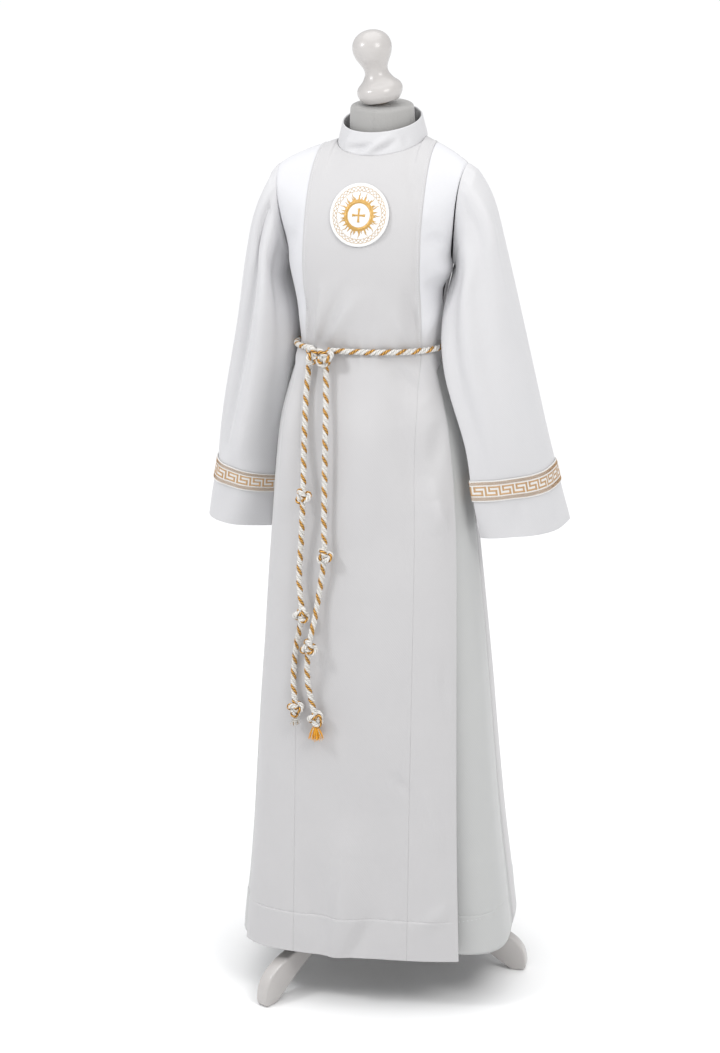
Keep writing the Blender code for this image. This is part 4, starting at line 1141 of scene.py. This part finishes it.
BADGE_STEPS = (  # radius in millimetres and height of the embroidered face above the cloth
    (0.01, 0.00135), (6.0, 0.00130), (12.0, 0.00125), (14.2, 0.00120), (15.0, 0.00100), (20.0, 0.00105),
    (28.0, 0.00105), (35.4, 0.00105), (36.0, 0.00120), (36.6, 0.00175), (37.5, 0.00200), (38.4, 0.00185),
    (38.9, 0.00130), (39.0, 0.00060), (39.0, 0.00000),
)


BADGE_FACE = 0.00105  # where its embroidery lies, above the cloth
RAYS, SUN_RADIUS = 48, 0.0186
RAY_LENGTHS, RAY_SWINGS = (0.0096, 0.0062, 0.0044), (0.0011, 0.0003, 0.0003)  # the long ones are wavy
CROSS_HALF = 0.0085


def badge():
    """White ground and raised rim; a plain cross in a sun, and a dotted twisted ring round it."""
    angle = full_circle(128)
    radius = np.array([r * MM for r, _ in BADGE_STEPS])[::-1, None]
    off = np.array([h for _, h in BADGE_STEPS])[::-1, None] + 0 * angle
    points = on_badge(radius * np.cos(angle), radius * np.sin(angle), off)
    uvs = stacked(angle * BADGE_RADIUS, radius)
    faces = grid_faces(*points.shape[:2], True)
    ground = piece("badge_ground_disc", points, faces, ["badge_ground"], "badge", uvs)
    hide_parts("badge")

    def surface(x, z, off):
        return on_badge(x, z, BADGE_FACE + off)

    def raised(x, z, off):
        return on_badge(x, z, 0.0013 + off)

    bits = Bits()
    full = np.linspace(0, 2 * math.pi, 121)
    ribbon(bits, surface, polar(0.0172, full), 0.0025, 0.00045, step=0.0012)
    ribbon(bits, surface, polar(0.0150, full), 0.0004, 0.00030, step=0.0012)
    reach = np.linspace(0, 1, 14)
    for n in range(RAYS):
        lead = n * 2 * math.pi / RAYS + 0.06 * math.sin(n * 2.3)
        swing = RAY_SWINGS[n % 3] * np.sin(reach * 7.0 + n) * reach
        radius_at = SUN_RADIUS + RAY_LENGTHS[n % 3] * reach
        line = polar(radius_at, lead + swing / radius_at)
        ribbon(bits, surface, line, 0.0011, 0.00035, step=0.0008, taper=((0, 0.5, 1), (1.0, 0.55, 0.08)))
    flared = ((0, 0.14, 0.3, 0.7, 0.86, 1), (1.5, 1.2, 0.9, 0.9, 1.2, 1.5))
    for along in ((CROSS_HALF, 0), (0, CROSS_HALF)):
        arm_ends = (-np.array(along), np.array(along))
        ribbon(bits, raised, arm_ends, 0.0013, 0.00040, step=0.0015, taper=flared)
    turn = np.linspace(0, 2 * math.pi, 721)
    for strand in range(3):
        phase = strand * 2 * math.pi / 3
        radius_at = 0.0320 + 0.0027 * np.sin(12 * turn + phase)
        stitched_on(bits, surface, *polar(radius_at, turn).T, 0.0, *BADGE_TWIST)
    for radius_at in (0.0292, 0.0349):
        stitched_on(bits, surface, *polar(radius_at, full).T, 0.0, *BADGE_RINGS)
    bits.piece("badge_embroidery", ["badge_gold"], "badge")


# ---------------------------------------------------------------- rope
def spline(points, step):
    """Points about a step apart on a smooth curve through the points."""
    points = np.array(points, float)
    padded = np.vstack([2 * points[0] - points[1], points, 2 * points[-1] - points[-2]])
    t = np.arange(24)[:, None] / 24
    dense = []
    for i in range(len(points) - 1):
        a, b, c, d = padded[i : i + 4]
        square, cube = 2 * a - 5 * b + 4 * c - d, 3 * b - a - 3 * c + d
        dense.append(0.5 * (2 * b + (c - a) * t + square * t**2 + cube * t**3))
    dense = np.vstack(dense + [points[-1:]])
    along = run_along(dense)
    return at_each(np.linspace(0, along[-1], max(4, round(along[-1] / step) + 1)), along, dense)


def carried(path):
    """Two directions square to the path, carried along it without twist."""
    tangent = unit(np.gradient(path, axis=0))
    first = np.cross(tangent[0], (0.3, 0.9, 0.2))
    sideways = [first / np.linalg.norm(first)]
    for t in tangent[1:]:
        moved = sideways[-1] - t * (sideways[-1] @ t)
        sideways.append(moved / np.linalg.norm(moved))
    sideways = np.array(sideways)
    return sideways, np.cross(tangent, sideways)


def tube(path, wide, around):
    """Rings of points about a path."""
    sideways, other = carried(path)
    return path[:, None] + wide * (np.cos(around) * sideways[:, None] + np.sin(around) * other[:, None])


def add_rope(bits, path, radius, pitch=ROPE_PITCH, start=0.0, sides=10):
    """Three strands twisted together along the path: two white and one gold."""
    along = run_along(path)
    sideways, other = carried(path)
    strand_radius, orbit = radius * 0.475, radius * 0.53
    around = full_circle(sides)[..., None]
    for strand in range(3):
        turn = start - 2 * math.pi * (along / pitch + strand / 3)
        centre = path + orbit * (np.cos(turn)[:, None] * sideways + np.sin(turn)[:, None] * other)
        points = tube(centre, strand_radius, around)
        uvs = stacked(along[:, None], around[..., 0] * strand_radius)
        bits.add(points, closed_faces(len(path), sides), uvs, 1 if strand == 0 else 0)


def overhand(bits, middle, scale, turn, tilt, radius, start=0.0, deep=1.25):
    """An overhand knot's crossing loops, as a trefoil of rope about its middle."""
    t = np.linspace(0.35, 0.35 + 2 * math.pi, 90)
    flat = stacked(np.sin(t) + 2 * np.sin(2 * t), -np.sin(3 * t) * deep, np.cos(t) - 2 * np.cos(2 * t))
    spin = np.array(Matrix.Rotation(turn, 3, "Z") @ Matrix.Rotation(tilt, 3, "Y"))
    add_rope(bits, middle + flat * scale @ spin.T, radius, 0.017, start, 9)


def ends(middle, name, count, long, spread, thick, finishes, slot, shares, seed):
    """Loose yarn ends fanning down from a knot. shares is the part that has the first finish."""
    random = np.random.default_rng(seed)
    bits = Bits()
    for _ in range(count):
        lead, out = random.uniform(0, 2 * math.pi), spread * math.sqrt(random.uniform(0, 1))
        reach, curl = long * random.uniform(0.7, 1.0), random.uniform(-1, 1, 2) * spread * 0.5
        t = np.linspace(0, 1, 6)[:, None]
        root = np.array([math.cos(lead), math.sin(lead), 0.0]) * out
        path = middle + root * (0.35 + 0.75 * np.sin(t * 1.7)) + np.hstack(
            [curl[0] * t**2, curl[1] * t**2, -reach * t + 0.15 * reach * t**2]
        )
        around = full_circle(4)[..., None]
        wide = thick * random.uniform(0.8, 1.2) * (1 - 0.45 * t)[:, :, None]
        points = tube(path, wide, around)
        faces = closed_faces(*points.shape[:2])
        uvs = stacked(t * reach, around[0, :, 0][None] * thick)
        bits.add(points, faces, uvs, 0 if random.uniform() < shares else 1)
    return bits.piece(name, finishes, slot)


TILTS = {"right": (0.4, -0.9, 2.0), "left": (2.6, 0.9, -0.5)}
ROPE_FINISHES = ["rope_white", "rope_gold"]
TAILS = {  # piece, yarns, length, spread, thickness, finishes, slot, part in the first finish, seed
    "left": ("tassel_gold", 170, 0.023, 0.0080, 0.00055, ["tassel_gold", "rope_white"], "tassel", 0.88, 4),
    "right": ("frayed_white", 90, 0.015, 0.0050, 0.00055, ROPE_FINISHES, "rope", 0.86, 9),
}


def hanging_end(label):
    """One free end of the cincture: the rope, its overhand knots and its loose yarn."""
    table = CORD[label]
    route = spline([row[1:] for row in table], 0.0012)
    bits = Bits()
    add_rope(bits, route, ROPE / 2, start=1.0 if label == "left" else 2.4)
    cord = bits.piece(f"cincture_end_{label}", ROPE_FINISHES, "rope")
    middles = [np.array(row[1:]) for row in table if row[0] == "knot"]
    for n, (middle, tilt) in enumerate(zip(middles, TILTS[label]), 1):
        knot = Bits()
        overhand(knot, middle, 0.0030, 0.25 * (n - 2), tilt, 0.0036, n)
        made = knot.piece(f"overhand_{label}_{n}", ROPE_FINISHES, "rope")
        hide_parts(f"knot_{label}_{n}")
    foot = middles[-1] - np.array([0, 0.001, 0.0095])
    tail = ends(foot, *TAILS[label])
    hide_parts(f"tail_{label}")
    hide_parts(*[f"cord_{label}_{n}" for n in (1, 2, 3)])
    world = placed(route)
    length = float(run_along(world)[-1])


def belt():
    start = float(angle_at(WAIST_Z, np.array(BELT_KNOT[0] + BELT_KNOT_HALF)))
    end = float(angle_at(WAIST_Z, np.array(BELT_KNOT[0] - BELT_KNOT_HALF))) + 2 * math.pi
    part = np.linspace(-0.012, 1.012, 60)
    route = body(WAIST_Z, start + (end - start) * part, -(ROPE / 2 + ROPE_OFF))
    route[:, 2] += BELT_SAG * np.sin(2 * math.pi * part)
    bits = Bits()
    add_rope(bits, spline(route, 0.0012), ROPE / 2)
    made = bits.piece("cincture_belt", ROPE_FINISHES, "rope")
    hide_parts("belt_rope")
    knot = Bits()
    middle = np.array(BELT_KNOT)
    overhand(knot, middle + (-0.0070, -0.0030, 0.0006), 0.0034, 0.15, 0.5, 0.0040, 0.4, 1.3)
    overhand(knot, middle + (0.0075, -0.0050, -0.0010), 0.0034, -0.25, 2.3, 0.0040, 2.0, 1.3)
    for label, aside in (("right", -0.006), ("left", 0.006)):
        first, second = (np.array(row[1:]) for row in CORD[label][:2])
        way = unit(first - second)
        above = first + way * 0.006 + (0, -0.001, 0)
        lead = [middle + (aside, -0.004, 0.002), above, first, first - way * 0.002]
        add_rope(knot, spline(lead, 0.0012), ROPE / 2, start=0.5)
    tied = knot.piece("cincture_knot", ROPE_FINISHES, "rope")
    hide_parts("belt_knot")


# ---------------------------------------------------------------- seams' stitches
def seams():
    """Edge stitching on the panel down to the belt, and the hem's small picks all round."""
    bits = Bits()
    inside = PANEL_HALF - 0.0030
    for side in (1, -1):
        z = np.linspace(WAIST_Z + 0.012, CHEST_Z, 40)
        low = body(z, angle_at(z, np.full(40, side * inside)))
        high = yoke(np.full(60, side * inside / PANEL_HALF * PANEL_SHARE), np.linspace(0, 0.97, 60))[1:]
        line = np.concatenate([low, high])
        out = front_out(line)
        line = line + out * (front_relief(line) + 0.0007)[:, None]
        stitched_line(bits, line, out, *PANEL_EDGE)
    angle = np.linspace(0, 2 * math.pi, 900)
    line = body(np.full(900, HEM_LINE), angle)
    inner = body(np.full(900, HEM_LINE), angle, 0.001)
    out = unit(line - inner)
    s = np.where(np.abs(np.cos(angle)) > 0.2, line[:, 0], line[:, 1])
    in_pleat = (np.abs(line[:, 0]) > 0.144) & (line[:, 1] < 0.0) & (line[:, 1] > -0.12)
    line = line + out * (hem_relief(line[:, 2], s) - 0.0002)[:, None]
    for chunk in np.split(np.arange(900), np.where(np.diff(in_pleat.astype(int)))[0] + 1):
        if not in_pleat[chunk[0]] and len(chunk) > 4:
            stitched_line(bits, line[chunk], out[chunk], *HEM_PICKS)
    bits.piece("seam_stitches", ["thread"], "alb_cloth")


def front_out(line):
    """Outward directions along a line up the front."""
    up = unit(np.gradient(line, axis=0))
    return unit(np.cross(np.array([1.0, 0.0, 0.0]), up))


# ---------------------------------------------------------------- dress form and stand
FormSection = namedtuple("FormSection", "z half_width front back square shift_x shift_y lean")
FORM = table(
    FormSection,
    (0.700, 0.0900, 0.066, 0.070, 2.2, 0.000, 0.000, 0.0),
    (0.712, 0.0980, 0.072, 0.078, 2.2, 0.000, 0.000, 0.0),
    (0.780, 0.1000, 0.074, 0.080, 2.2, 0.000, 0.000, 0.0),
    (0.840, 0.0900, 0.068, 0.070, 2.2, 0.000, 0.000, 0.0),
    (0.886, 0.0850, 0.064, 0.062, 2.2, 0.000, 0.000, 0.0),
    (0.940, 0.0860, 0.069, 0.067, 2.2, 0.000, 0.000, 0.0),
    (1.000, 0.0970, 0.071, 0.070, 2.2, 0.000, 0.000, 0.0),
    (1.050, 0.0990, 0.062, 0.068, 2.2, 0.001, 0.002, 0.0),
    (1.085, 0.1000, 0.048, 0.058, 2.2, 0.002, 0.004, 0.0),
    (1.108, 0.0960, 0.033, 0.044, 2.2, 0.002, 0.008, 1.0),
    (1.124, 0.0790, 0.028, 0.038, 2.1, 0.003, 0.014, 2.0),
    (1.136, 0.0590, 0.030, 0.038, 2.0, 0.004, 0.019, 4.0),
    (1.148, 0.0480, 0.036, 0.040, 2.0, 0.005, 0.022, 6.0),
    (1.160, 0.0440, 0.039, 0.041, 2.0, 0.006, 0.024, 7.0),
    (1.182, 0.0425, 0.039, 0.040, 2.0, 0.006, 0.023, 8.0),
    (1.1955, 0.0415, 0.039, 0.0395, 2.0, 0.006, 0.022, 8.0),
    (1.1985, 0.0400, 0.0378, 0.038, 2.0, 0.006, 0.0216, 8.0),
    (1.2000, 0.0370, 0.035, 0.035, 2.0, 0.006, 0.0215, 8.0),
)


FORM_LEVELS = ((0.700, 1.12, 40), (1.125, 1.194, 36), (1.1952, 1.2, 8))  # from, to and how many


def form_ring(z, angle):
    row = {name: column(FORM, "z", name, z) for name in FormSection._fields[1:]}
    sine, cosine, lean = np.sin(angle), np.cos(angle), np.radians(row["lean"])
    x = np.sign(sine) * row["half_width"] * np.abs(sine) ** (2 / row["square"])
    depth = np.where(cosine > 0, row["front"], row["back"])
    y = -np.sign(cosine) * depth * np.abs(cosine) ** (2 / row["square"])
    return np.stack([row["shift_x"] + x, row["shift_y"] + y * np.cos(lean), z + y * np.sin(lean)], axis=-1)


def form():
    z = np.concatenate([np.linspace(*row) for row in FORM_LEVELS])
    angle = full_circle(110)
    points = form_ring(z[:, None], angle)
    flat = metres(points)
    top = points[-1:].mean(axis=1, keepdims=True)
    crown = np.array([0, 0, 0.0006])
    lids = [points[-1] + (top[0] - points[-1] + crown) * part for part in (0.25, 0.5, 0.8, 0.98)]
    middle = points[0].mean(axis=0)
    base = [points[0] + (middle - points[0]) * part for part in (0.98, 0.6, 0.2)]
    whole = np.concatenate([np.array(base), points, np.array(lids)])
    v = np.concatenate([flat[:1, :, :] - (0, 0.03), flat[:1] - (0, 0.02), flat[:1] - (0, 0.01), flat]
                       + [flat[-1:] + (0, 0.01 * k) for k in range(1, 5)])
    thing = piece("jersey_form", whole, closed_faces(*whole.shape[:2]), ["jersey"], "jersey", v)
    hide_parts("form_torso")
    bits = Bits()
    z = np.linspace(1.150, 1.197, 40)
    for angle in (math.radians(72), math.radians(252)):
        line = form_ring(z, np.full(40, angle))
        centre = np.stack([column(FORM, "z", "shift_x", z), column(FORM, "z", "shift_y", z), z], axis=1)
        out = unit((line - centre) * (1, 1, 0))
        stitched_line(bits, line + out * 0.0002, out, *FORM_SEAM)
    bits.piece("form_seam", ["jersey"], "jersey")


FINIAL = (  # height and radius
    (0.0000, 0.0235), (0.0025, 0.0255), (0.0080, 0.0288), (0.0140, 0.0298), (0.0200, 0.0275),
    (0.0270, 0.0205), (0.0350, 0.0158), (0.0420, 0.0155), (0.0500, 0.0190), (0.0580, 0.0232),
    (0.0670, 0.0255), (0.0760, 0.0244), (0.0840, 0.0195), (0.0890, 0.0120), (0.0910, 0.0050),
    (0.0913, 0.0002),
)
FINIAL_LEAN, FINIAL_OFF = 9.0, (0.0005, -0.0040, 0.0048)


def finial():
    top = FORM[-1]
    outline = spline([(r, 0.0, h) for h, r in FINIAL], 0.0009)
    outline = np.concatenate([[[0.0002, 0, 0.0006]], [[0.0150, 0, 0.0004]], outline])
    angle = full_circle(90)
    radius, height = outline[:, :1], outline[:, 2:]
    points = stacked(radius * np.cos(angle), radius * np.sin(angle), height)
    place = np.array((top.shift_x + FINIAL_OFF[0], top.shift_y + FINIAL_OFF[1], top.z + FINIAL_OFF[2]))
    aside = Matrix.Rotation(math.radians(-FINIAL_LEAN), 3, "Y")
    lean = aside @ Matrix.Rotation(math.radians(top.lean), 3, "X")
    points = points @ np.array(lean).T + place
    faces = grid_faces(*points.shape[:2], True)
    thing = piece("finial_knob", points, faces, ["painted_wood"], "painted_wood", metres(points))
    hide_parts("finial")


LEG = (
    (0.0345, 0.064), (0.0900, 0.060), (0.1250, 0.050), (0.1500, 0.037), (0.1700, 0.023), (0.1880, 0.010),
    (0.2000, 0.002), (0.2060, 0.000), (0.2180, 0.000), (0.2225, 0.003), (0.2238, 0.011), (0.2205, 0.0285),
    (0.2100, 0.043), (0.1920, 0.0545), (0.1700, 0.0620), (0.1400, 0.0680), (0.1000, 0.0800),
    (0.0650, 0.0980), (0.0345, 0.118),
)
LEG_THICK, LEG_ROUND, FIRST_LEG, LEG_COUNT = 0.019, 0.0030, -28.0, 3


def leg(number):
    """A flat curved board on its edge, with rounded, painted edges."""
    outline = spline([(r, 0.0, z) for r, z in LEG], 0.0030)[:, [0, 2]]
    outline[:, 1] = np.maximum(outline[:, 1], 0.0)
    ahead, behind = np.roll(outline, -1, axis=0), np.roll(outline, 1, axis=0)
    inward = ahead - behind
    inward = np.stack([-inward[:, 1], inward[:, 0]], axis=1)
    inward /= np.linalg.norm(inward, axis=1, keepdims=True)
    half, rows = LEG_THICK / 2, []
    for turn in np.radians((90, 67, 45, 22, 0)):
        rows.append((half - LEG_ROUND * (1 - math.sin(turn)), LEG_ROUND * (1 - math.cos(turn))))
    profile = rows + [(-across, inset) for across, inset in reversed(rows)]
    loops = []
    for across, inset in profile:
        loops.append(np.stack([outline[:, 0] + inward[:, 0] * inset, np.full(len(outline), across),
                               np.maximum(outline[:, 1] + inward[:, 1] * inset, 0.0)], axis=1))
    points = np.array(loops)
    faces = closed_faces(*points.shape[:2])
    angle = math.radians(FIRST_LEG + (number - 1) * 360 / LEG_COUNT - 90)
    points = points @ np.array(Matrix.Rotation(angle, 3, "Z")).T
    thing = piece(f"stand_leg_{number}", points, faces, ["painted_wood"], "painted_wood", metres(points))
    thing.data.set_sharp_from_angle(angle=math.radians(50))
    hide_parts(f"leg_{number}")


def carried_over():
    """The solids whose own shape shows, or hardly shows: they get their paint."""
    for name, finish in (("pole", "painted_wood"), ("hub", "painted_wood"), ("finial_peg", "bare_wood")):
        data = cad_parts[name].data
        data.materials.clear()
        data.materials.append(MADE[finish])


# ---------------------------------------------------------------- room
def area_light(name, place, aim, size, power, colour=(1, 1, 1)):
    data = bpy.data.lights.new(name, "AREA")
    data.size, data.energy, data.color = size, power, colour
    way = np.array(aim, float) - np.array(place, float)
    tip, turn = math.acos(-way[2] / np.linalg.norm(way)), math.atan2(-way[0], way[1])
    add_object(name, data, place).rotation_euler = (tip, 0, turn)


def room():
    mesh, far = bpy.data.meshes.new("floor"), 60.0
    mesh.from_pydata([(-far, -far, 0), (far, -far, 0), (far, far, 0), (-far, far, 0)], [], [(0, 1, 2, 3)])
    mesh.materials.append(MADE["pale_floor"])
    floor = add_object("floor", mesh, (0, 0, CAD_BOX[0][2] - 0.0002))
    world = bpy.data.worlds.new("studio")
    world.use_nodes = True
    sky = world.node_tree.nodes["Background"].inputs
    sky["Color"].default_value, sky["Strength"].default_value = (0.975, 0.985, 1.0, 1), 0.56
    bpy.context.scene.world = world
    bpy.context.scene.view_settings.view_transform = "Standard"
    overhead = bpy.data.lights.new("overhead", "SUN")
    overhead.energy, overhead.angle = 1.78, math.radians(75)
    add_object("overhead", overhead)
    area_light("key", (-1.20, -1.05, 1.85), (0, 0, 0.95), 0.35, 11.5, (0.985, 0.99, 1.0))
    area_light("fill", (1.05, -1.00, 1.75), (0, 0, 1.0), 0.7, 10.5, (1.0, 0.99, 0.975))


# ---------------------------------------------------------------- the whole
camera()
materials()
hanging_end("right")
hanging_end("left")
belt()
front_centre()
back()
for one_side in (1, -1):
    side_front(one_side)
    side_panel(one_side)
    arm(one_side)
    braid(one_side)
collar()
badge()
seams()
form()
finial()
for leg_number in range(1, LEG_COUNT + 1):
    leg(leg_number)
carried_over()
room()
